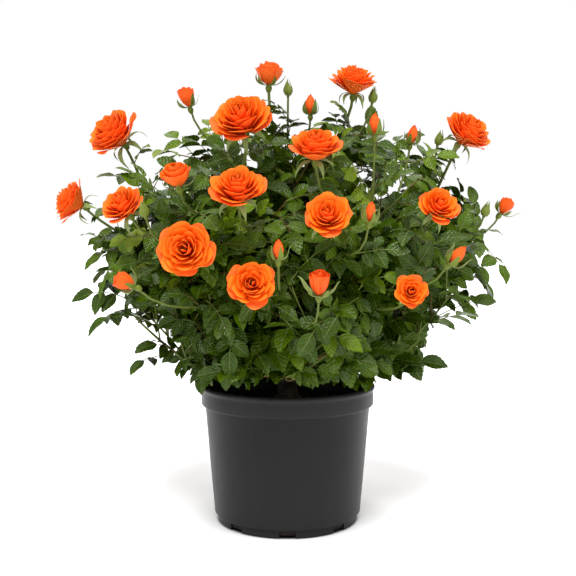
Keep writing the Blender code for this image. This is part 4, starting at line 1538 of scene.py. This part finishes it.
def make_compost(colour):
    """The pot's filling: a rough top with crumbs on it, in the pot's inner shape."""
    top_radius = wall_radius(BAND_FOOT) - WALL_THICKNESS - COMPOST_GAP
    foot_radius = FOOT_RADIUS - WALL_THICKNESS - COMPOST_GAP
    foot = FLOOR_THICKNESS + COMPOST_GAP
    surface = [(top_radius * (1 - k / COMPOST_RINGS), compost_height(k)) for k in range(COMPOST_RINGS + 1)]
    bm = spin_profile([(0, foot), (foot_radius, foot), *surface], COMPOST_STEPS)
    for vert in bm.verts:
        if vert.co.z > COMPOST_TOP / 2 and vert.co.xy.length < top_radius - 0.001:
            lump = noise.fractal(vert.co * COMPOST_LUMPS, 0.8, 2.1, 4)
            vert.co.z += COMPOST_RELIEF * lump - COMPOST_RELIEF / 2
    draw = random.Random("crumbs")
    for k in range(CRUMB_COUNT):
        radius = top_radius * CRUMB_SPREAD * math.sqrt((k + 0.5) / CRUMB_COUNT)
        angle = math.radians(k * GOLDEN_ANGLE)
        size = draw.uniform(*CRUMB_SIZES)
        height = blend(COMPOST_TOP, BAND_FOOT, radius / top_radius)
        shift = Matrix.Translation((radius * math.cos(angle), radius * math.sin(angle), height))
        scale = Matrix.Diagonal([draw.uniform(*limits) for limits in CRUMB_STRETCHES] + [1])
        bmesh.ops.create_icosphere(bm, subdivisions=1, radius=size, matrix=shift @ scale)
    compost = finish_piece("compost_top", bm, [compost_material(colour)], 60)
    settle(compost, ["compost"])


def compost_height(ring_number):
    """Height of the compost's top: it rises from the wall towards the rootstock."""
    share = ring_number / COMPOST_RINGS
    return blend(BAND_FOOT, COMPOST_TOP - COMPOST_GAP, min(1, share * COMPOST_SLOPE))


def add_limb(bm, line, radii, sides, relief):
    """Adds a tapering limb with a rough skin to a bmesh, by extruding a capped circle along a line."""
    depth, scale = relief
    verts = bmesh.ops.create_circle(bm, cap_ends=True, segments=sides, radius=1)["verts"]
    face = verts[0].link_faces[0]
    verts = list(face.verts)
    for k, (point, radius) in enumerate(zip(line, radii)):
        if k:
            made = bmesh.ops.extrude_face_region(bm, geom=[face], use_keep_orig=True)["geom"]
            fresh = {item for item in made if isinstance(item, bmesh.types.BMVert)}
            verts = [next(e.other_vert(v) for e in v.link_edges if e.other_vert(v) in fresh) for v in verts]
            if k > 1:
                bmesh.ops.delete(bm, geom=[face], context="FACES_ONLY")
            face = next(item for item in made if isinstance(item, bmesh.types.BMFace))
        heading = (line[min(k + 1, len(line) - 1)] - line[max(k - 1, 0)]).normalized()
        spin = heading.to_track_quat("Z", "Y")
        for number, vert in enumerate(verts):
            out = ring_point(spin, number * math.tau / sides)
            rough = noise.fractal((point + out * radius) * scale, 0.7, 2.0, 3)
            vert.co = point + out * (radius * (1 + depth * rough))


def make_rootstock(colour):
    """The short woody stem: root flare, neck, and the knuckle where the canes leave."""
    foot = COMPOST_TOP - 0.002
    keys = [
        (foot, FLARE_RADIUS * 1.05),
        (COMPOST_TOP + 0.0016, FLARE_RADIUS * 0.93),
        (COMPOST_TOP + 0.0036, blend(NECK_RADIUS, FLARE_RADIUS, 0.35)),
        (COMPOST_TOP + FLARE_HEIGHT, NECK_RADIUS),
        (HEART.z - 0.0070, NECK_RADIUS * 1.02),
        (HEART.z, HEAD_RADIUS),
        (HEART.z + 0.0060, HEAD_RADIUS * 0.90),
        (HEART.z + 0.0102, HEAD_RADIUS * 0.58),
        (HEART.z + 0.0123, HEAD_RADIUS * 0.14),
    ]
    heights, radii = zip(*keys)
    steps = np.linspace(foot, heights[-1], STOCK_POINTS)
    line = [Vector((0, 0, height)) for height in steps]
    bm = bmesh.new()
    add_limb(bm, line, np.interp(steps, heights, radii), STOCK_SIDES, STOCK_RELIEF)
    # its bark's colour is partly painted shade at the pot's mouth
    stock = finish_piece("woody_base", bm, [bark_material("old bark", colour, OLD_RIDGE)], WOOD_SHARP)
    settle(stock, ["rootstock"])


def make_canes(colour):
    """The canes from the knuckle to their masses, with leaf scars and prickles."""
    bm = bmesh.new()
    draw = random.Random("canes")
    for mass in plan_masses():
        start = HEART + mass.axis * (HEAD_RADIUS - 0.001)
        end = HEART + mass.axis * (CANE_REACH + 0.001)
        level = UP - mass.axis * mass.axis.z
        bend = start.lerp(end, 0.5) + level * CANE_ARCH
        line = bezier_line([start, bend, end], CANE_PIECES)
        radii = [
            blend(*CANE_RADII, k / CANE_PIECES) * (1 + SCAR_SWELL * math.exp(-((k - SCAR_PLACE) ** 2)))
            for k in range(CANE_PIECES + 1)
        ]
        radii[0] *= CANE_FOOT_SWELL
        add_limb(bm, line, radii, CANE_SIDES, CANE_RELIEF)
        for k in range(PRICKLE_COUNT):
            root, heading = line_at(line, PRICKLE_START + PRICKLE_SPACING * k)
            out = ring_point(heading.to_track_quat("Z", "Y"), math.radians(draw.uniform(0, 360)))
            add_prickle(bm, root + out * PRICKLE_ROOT, out, PRICKLE_LENGTH)
    canes = finish_piece("canes", bm, [bark_material("green bark", colour, GREEN_RIDGE)], WOOD_SHARP)
    settle(canes, CANE_NODES)


def add_prickle(bm, root, out, length):
    """A prickle: a small cone that leans a little down."""
    aim = (out - UP * PRICKLE_LEAN).normalized()
    turn = aim.to_track_quat("Z", "Y").to_matrix().to_4x4()
    shift = Matrix.Translation(root + aim * (length * 0.4))
    foot, tip = (length * share for share in PRICKLE_RADII)
    size = {"radius1": foot, "radius2": tip, "depth": length}
    bmesh.ops.create_cone(bm, cap_ends=True, segments=6, matrix=shift @ turn, **size)


# ---- settings -----------------------------------------------------------------------------------


def colour_setting(name, description, default):
    """A colour that a user may change."""
    return bpy.props.FloatVectorProperty(
        name=name, description=description, default=default, size=3, min=0, max=1, subtype="COLOR"
    )


def amount_setting(name, description, default, **limits):
    """A number that a user may change, with its limits and its unit or subtype."""
    return bpy.props.FloatProperty(name=name, description=description, default=default, **limits)


class PotSettings(bpy.types.PropertyGroup):
    """Colours of the pot and of what fills it."""

    plastic: colour_setting("Plastic", "Colour of the moulded pot", (0.0130, 0.0130, 0.0130))
    # the peat's own dark colour, darkened further as painted shade of the pot's inside
    peat: colour_setting("Peat", "Colour of the moist compost", (0.012, 0.008, 0.006))


class WoodSettings(bpy.types.PropertyGroup):
    """Colours of the woody parts."""

    # the old wood's own colour, darkened further as painted shade at the pot's mouth
    bark: colour_setting("Bark", "Colour of the old wood at the foot", (0.036, 0.026, 0.015))
    cane: colour_setting("Cane", "Colour of the green canes", (0.095, 0.120, 0.028))
    shoot: colour_setting("Shoot", "Colour of the green shoots", (0.105, 0.140, 0.022))
    young: colour_setting("Young twig", "Colour of the reddish twigs", (0.100, 0.066, 0.016))


class LeafSettings(bpy.types.PropertyGroup):
    """Colours and gloss of the leaves."""

    dark: colour_setting("Dark", "Colour of the oldest leaves", (0.031, 0.064, 0.0005))
    middle: colour_setting("Middle", "Colour of most leaves", (0.051, 0.097, 0.0005))
    light: colour_setting("Light", "Colour of the lighter leaves", (0.091, 0.155, 0.001))
    fresh: colour_setting("Young", "Colour of the youngest leaves", (0.132, 0.192, 0.006))
    rib: colour_setting("Midrib", "Colour of the midribs", (0.150, 0.190, 0.060))
    gloss: amount_setting("Roughness", "Roughness of the leaves' skin", 0.16, min=0, max=1, subtype="FACTOR")


class BloomSettings(bpy.types.PropertyGroup):
    """Colours of the petals and sepals."""

    face: colour_setting("Face", "Colour of the petals' faces", (0.990, 0.165, 0.004))
    # the heart's colour is painted shade deep in the bloom
    heart: colour_setting("Heart", "Colour deep in a bloom", (0.985, 0.140, 0.003))
    # the rims' lighter colour is a painted highlight on the lit rims
    rim: colour_setting("Rim", "Colour of the petals' rims", (0.990, 0.205, 0.014))
    outer: colour_setting("Outer petals", "Colour of the outermost petals", (0.970, 0.155, 0.022))
    back: colour_setting("Back", "Colour of the petals' backs", (0.975, 0.140, 0.016))
    bud: colour_setting("Bud", "Colour of the buds' petals", (0.920, 0.105, 0.011))
    sepal: colour_setting("Sepal", "Colour of hips and sepals", (0.130, 0.170, 0.020))
    lining: colour_setting("Lining", "Colour of the sepals' inner side", (0.200, 0.270, 0.085))


class StageSettings(bpy.types.PropertyGroup):
    """The floor, the lights and the camera."""

    sky: amount_setting("Sky", "Strength of the white surroundings", 0.17, min=0)
    key: amount_setting("Key light", "Strength of the main light", 3.7, min=0)
    fill: amount_setting("Side lights", "Strength of each side light", 0.85, min=0)
    back: amount_setting("Back light", "Strength of the light behind", 1.6, min=0)
    distance: amount_setting("Distance", "From the pot to the camera", 1.0, min=0.5, unit="LENGTH")
    height: amount_setting("Height", "Height of the camera", 0.313, min=0, unit="LENGTH")
    pitch: amount_setting("Pitch", "How far the camera looks down", math.radians(3.51), subtype="ANGLE")
    lens: amount_setting("Lens", "Focal length on a 36 mm sensor", 57.75, min=1, unit="CAMERA")


class BushSettings(bpy.types.PropertyGroup):
    """All settings of the potted rose bush."""

    pot: bpy.props.PointerProperty(type=PotSettings)
    wood: bpy.props.PointerProperty(type=WoodSettings)
    leaf: bpy.props.PointerProperty(type=LeafSettings)
    bloom: bpy.props.PointerProperty(type=BloomSettings)
    stage: bpy.props.PointerProperty(type=StageSettings)


# ---- operators ----------------------------------------------------------------------------------


class ROSEBUSH_OT_pot(bpy.types.Operator):
    """Make the moulded pot and its compost"""

    bl_idname = "rosebush.pot"
    bl_label = "Pot and compost"

    def execute(self, context):
        settings = context.scene.rose_bush.pot
        make_pot(settings.plastic)
        make_compost(settings.peat)
        return {"FINISHED"}


class ROSEBUSH_OT_canes(bpy.types.Operator):
    """Make the woody base and the canes, with their bark"""

    bl_idname = "rosebush.canes"
    bl_label = "Base and canes"

    def execute(self, context):
        settings = context.scene.rose_bush.wood
        make_rootstock(settings.bark)
        make_canes(settings.cane)
        return {"FINISHED"}


class ROSEBUSH_OT_twigs(bpy.types.Operator):
    """Make the stems, shoots, side twigs and leaf stalks"""

    bl_idname = "rosebush.twigs"
    bl_label = "Twigs"

    def execute(self, context):
        settings = context.scene.rose_bush.wood
        heap = Heap()
        draw = random.Random("twigs")
        for growth in grow_bush():
            line = bezier_line(stem_line(growth.mass), STEM_PIECES)
            add_tubes(heap, [line], np.linspace(*STEM_RADII, STEM_PIECES + 1), STEM_SIDES, GREEN)
            for shoot in growth.shoots:
                radii = SPRAY_RADII if shoot.kind == "spray" else SHOOT_RADII
                if shoot.bloom:
                    budding = shoot.bloom.kind in (*CLOSED_KINDS, "green")
                    low, high = BUD_SHOOT_RADII if budding else BLOOM_SHOOT_RADII
                    rise = clamp(shoot.bloom.lift / THICK_SHOOT_LIFT, 0, 1)
                    radii = [blend(a, b, rise) for a, b in zip(low, high)]
                slot = draw.choices(*SHOOT_SLOTS[shoot.kind == "leafy"])[0]
                add_tubes(heap, [shoot.line], np.linspace(*radii, len(shoot.line)), SHOOT_SIDES, slot)
            for lines, radii, sides, choice in (
                ([twig.line for twig in growth.twigs], TWIG_RADII, TWIG_SIDES, TWIG_SLOTS),
                ([leaf.rachis for leaf in growth.leaves], RACHIS_RADII, RACHIS_SIDES, RACHIS_SLOTS),
            ):
                slots = [draw.choices(*choice)[0] for _ in lines]
                add_tubes(heap, lines, np.linspace(*radii, len(lines[0])), sides, slots)
        materials = [
            plain_material("green shoot", settings.shoot, 0.42),
            plain_material("reddish twig", settings.young, 0.48),
            plain_material("leaf stalk", [channel * 1.25 for channel in settings.shoot], 0.45),
        ]
        settle(heap.build("twigs", materials), MASS_NODES)
        return {"FINISHED"}


class ROSEBUSH_OT_leaves(bpy.types.Operator):
    """Make the leaflets of every mass, in their own toothed outline"""

    bl_idname = "rosebush.leaves"
    bl_label = "Leaves"

    def execute(self, context):
        settings = context.scene.rose_bush.leaf
        tints = (
            ("leaf dark", settings.dark, 0),
            ("leaf middle", settings.middle, 0.03),
            ("leaf light", settings.light, 0.05),
            ("leaf young", settings.fresh, 0.05),
        )
        materials = [
            leaf_material(name, colour, settings.rib, settings.gloss + rougher)
            for name, colour, rougher in tints
        ]
        materials.append(plain_material("leaf midrib", settings.rib, 0.4))
        for name, nodes in LEAF_PIECES.items():
            chosen = [growth for growth in grow_bush() if growth.mass.name in nodes]
            settle(leaves_heap(chosen).build(name, materials), nodes)
        return {"FINISHED"}


class ROSEBUSH_OT_blooms(bpy.types.Operator):
    """Make the layered petals of the blooms and the coloured buds"""

    bl_idname = "rosebush.blooms"
    bl_label = "Blooms"

    def execute(self, context):
        settings = context.scene.rose_bush.bloom
        materials = [
            petal_material("petal face", settings.face),
            # painted shade of the bloom's heart
            petal_material("petal heart", settings.heart),
            # painted highlight on the petals' rims
            petal_material("petal rim", settings.rim),
            petal_material("petal back", settings.back),
            petal_material("outer petal", settings.outer),
            petal_material("bud petal", settings.bud),
        ]
        front = [bloom for bloom in [*FRONT_BLOOMS, *SMALL_BUDS] if bloom.kind in KINDS]
        for name, blooms in (("petals_front", front), ("petals_rear", rear_blooms())):
            heap = Heap()
            for bloom in blooms:
                add_petals(heap, bloom)
            settle(heap.build(name, materials, BLOOM_SHARP), MASS_NODES)
        return {"FINISHED"}


class ROSEBUSH_OT_sepals(bpy.types.Operator):
    """Make the hips, sepals, green buds and the hearts of the open blooms"""

    bl_idname = "rosebush.sepals"
    bl_label = "Hips and sepals"

    def execute(self, context):
        settings = context.scene.rose_bush.bloom
        materials = [
            plain_material("sepal", settings.sepal, 0.45),
            plain_material("sepal lining", settings.lining, 0.6),
            plain_material("bloom centre", CENTRE_COLOUR, 0.8),
        ]
        heap = Heap()
        for bloom in [*FRONT_BLOOMS, *SMALL_BUDS, *rear_blooms()]:
            add_sepals(heap, bloom)
        settle(heap.build("sepals_and_hips", materials, BLOOM_SHARP), MASS_NODES)
        return {"FINISHED"}


class ROSEBUSH_OT_stage(bpy.types.Operator):
    """Make the pale floor, the soft lights and the camera"""

    bl_idname = "rosebush.stage"
    bl_label = "Stage"

    def execute(self, context):
        settings = context.scene.rose_bush.stage
        make_floor()
        make_lights(settings)
        make_camera(settings)
        return {"FINISHED"}


def grey(level):
    """A colour without a hue."""
    return (level, level, level, 1)


def make_floor():
    """A wide pale floor that glows a little, with a painted shadow: dark under the pot, and its glow fading
    in from the pot's foot as a painted contact shadow.
    """
    bm = bmesh.new()
    bmesh.ops.create_circle(bm, cap_ends=True, segments=96, radius=FLOOR_RADIUS)
    for vert in bm.verts:
        vert.co.z = -FLOOR_DROP
    shader = Shader("pale floor")
    distance = shader.node("ShaderNodeVectorMath", {"operation": "LENGTH"}, {0: shader.place()}, 1)
    past_painted_shadow = shader.ramp(distance, FOOT_RADIUS - 0.004, FOOT_RADIUS + 0.002)
    pale = shader.mix(shader.noise(6, 2), grey(0.90), grey(0.93))
    shader.set(
        # painted shadow: nearly black under the pot, where it shows through the drainage notches
        Base_Color=shader.mix(past_painted_shadow, grey(0.05), pale),
        Roughness=0.9,
        Specular_IOR_Level=0.1,
        # painted contact shadow: no glow at the pot's foot, full glow from the painted shade's radius out
        Emission_Color=shader.mix(shader.ramp(distance, FOOT_RADIUS, PAINTED_SHADE_RADIUS), grey(0), grey(1)),
        Emission_Strength=FLOOR_GLOW,
    )
    finish_piece("floor", bm, [shader.material])


def make_lights(settings):
    """A white sky, a main light from above, softer ones from both sides and one behind."""
    world = bpy.data.worlds.new("white sky")
    world.use_nodes = True
    tree = world.node_tree
    sky = tree.nodes["Background"]
    sky.inputs["Strength"].default_value = settings.sky
    kinds = ("Background", "LightPath", "MixShader")
    seen, path, pick = (tree.nodes.new("ShaderNode" + kind) for kind in kinds)
    for background in (sky, seen):
        background.inputs["Color"].default_value = grey(1)
    tree.links.new(path.outputs["Is Camera Ray"], pick.inputs[0])
    tree.links.new(sky.outputs[0], pick.inputs[1])
    tree.links.new(seen.outputs[0], pick.inputs[2])
    tree.links.new(pick.outputs[0], tree.nodes["World Output"].inputs["Surface"])
    bpy.context.scene.world = world
    left, right = (settings.fill * share for share in SIDE_SHARES)
    for name, strength, bearing, lift, spread in (  # the last three in degrees
        ("key light", settings.key, -5, 57, 26),
        ("left light", left, -60, 26, 50),
        ("right light", right, 58, 26, 50),
        ("back light", settings.back, 172, 50, 70),
    ):
        light = bpy.data.lights.new(name, "SUN")
        light.energy = strength
        light.angle = math.radians(spread)
        lamp = bpy.data.objects.new(name, light)
        lamp.rotation_mode = "QUATERNION"
        lamp.rotation_quaternion = towards(bearing, lift).to_track_quat("Z", "Y")
        bpy.context.scene.collection.objects.link(lamp)


def make_camera(settings):
    """The camera in front of the pot, and plain colours in the view."""
    lens = bpy.data.cameras.new("camera")
    lens.lens = settings.lens
    lens.sensor_width = SENSOR_WIDTH
    lens.shift_x = CAMERA_SHIFT
    camera = bpy.data.objects.new("camera", lens)
    camera.location = (0, -settings.distance, settings.height)
    camera.rotation_euler = (math.pi / 2 - settings.pitch, 0, 0)
    scene = bpy.context.scene
    scene.collection.objects.link(camera)
    scene.camera = camera
    scene.view_settings.view_transform = "Standard"
    scene.view_settings.look = "None"


class ROSEBUSH_PT_panel(bpy.types.Panel):
    """Lists the pieces of the potted rose bush"""

    bl_idname = "ROSEBUSH_PT_panel"
    bl_label = "Rose bush"
    bl_space_type = "VIEW_3D"
    bl_region_type = "UI"
    bl_category = "Rose bush"

    def draw(self, context):
        settings = context.scene.rose_bush
        for operator in PIECES:
            self.layout.operator(operator.bl_idname)
        for group in (settings.pot, settings.wood, settings.leaf, settings.bloom, settings.stage):
            box = self.layout.box()
            for name in group.__annotations__:
                box.prop(group, name)


PIECES = (
    ROSEBUSH_OT_pot,
    ROSEBUSH_OT_canes,
    ROSEBUSH_OT_twigs,
    ROSEBUSH_OT_leaves,
    ROSEBUSH_OT_blooms,
    ROSEBUSH_OT_sepals,
    ROSEBUSH_OT_stage,
)
SETTINGS = (PotSettings, WoodSettings, LeafSettings, BloomSettings, StageSettings, BushSettings)
CLASSES = (*SETTINGS, *PIECES, ROSEBUSH_PT_panel)


def register():
    for part in CLASSES:
        bpy.utils.register_class(part)
    bpy.types.Scene.rose_bush = bpy.props.PointerProperty(type=BushSettings)


def unregister():
    del bpy.types.Scene.rose_bush
    for part in reversed(CLASSES):
        bpy.utils.unregister_class(part)


def main():
    register()
    bpy.ops.rosebush.pot()
    bpy.ops.rosebush.canes()
    bpy.ops.rosebush.twigs()
    bpy.ops.rosebush.leaves()
    bpy.ops.rosebush.blooms()
    bpy.ops.rosebush.sepals()
    bpy.ops.rosebush.stage()


if __name__ == "__main__":
    main()
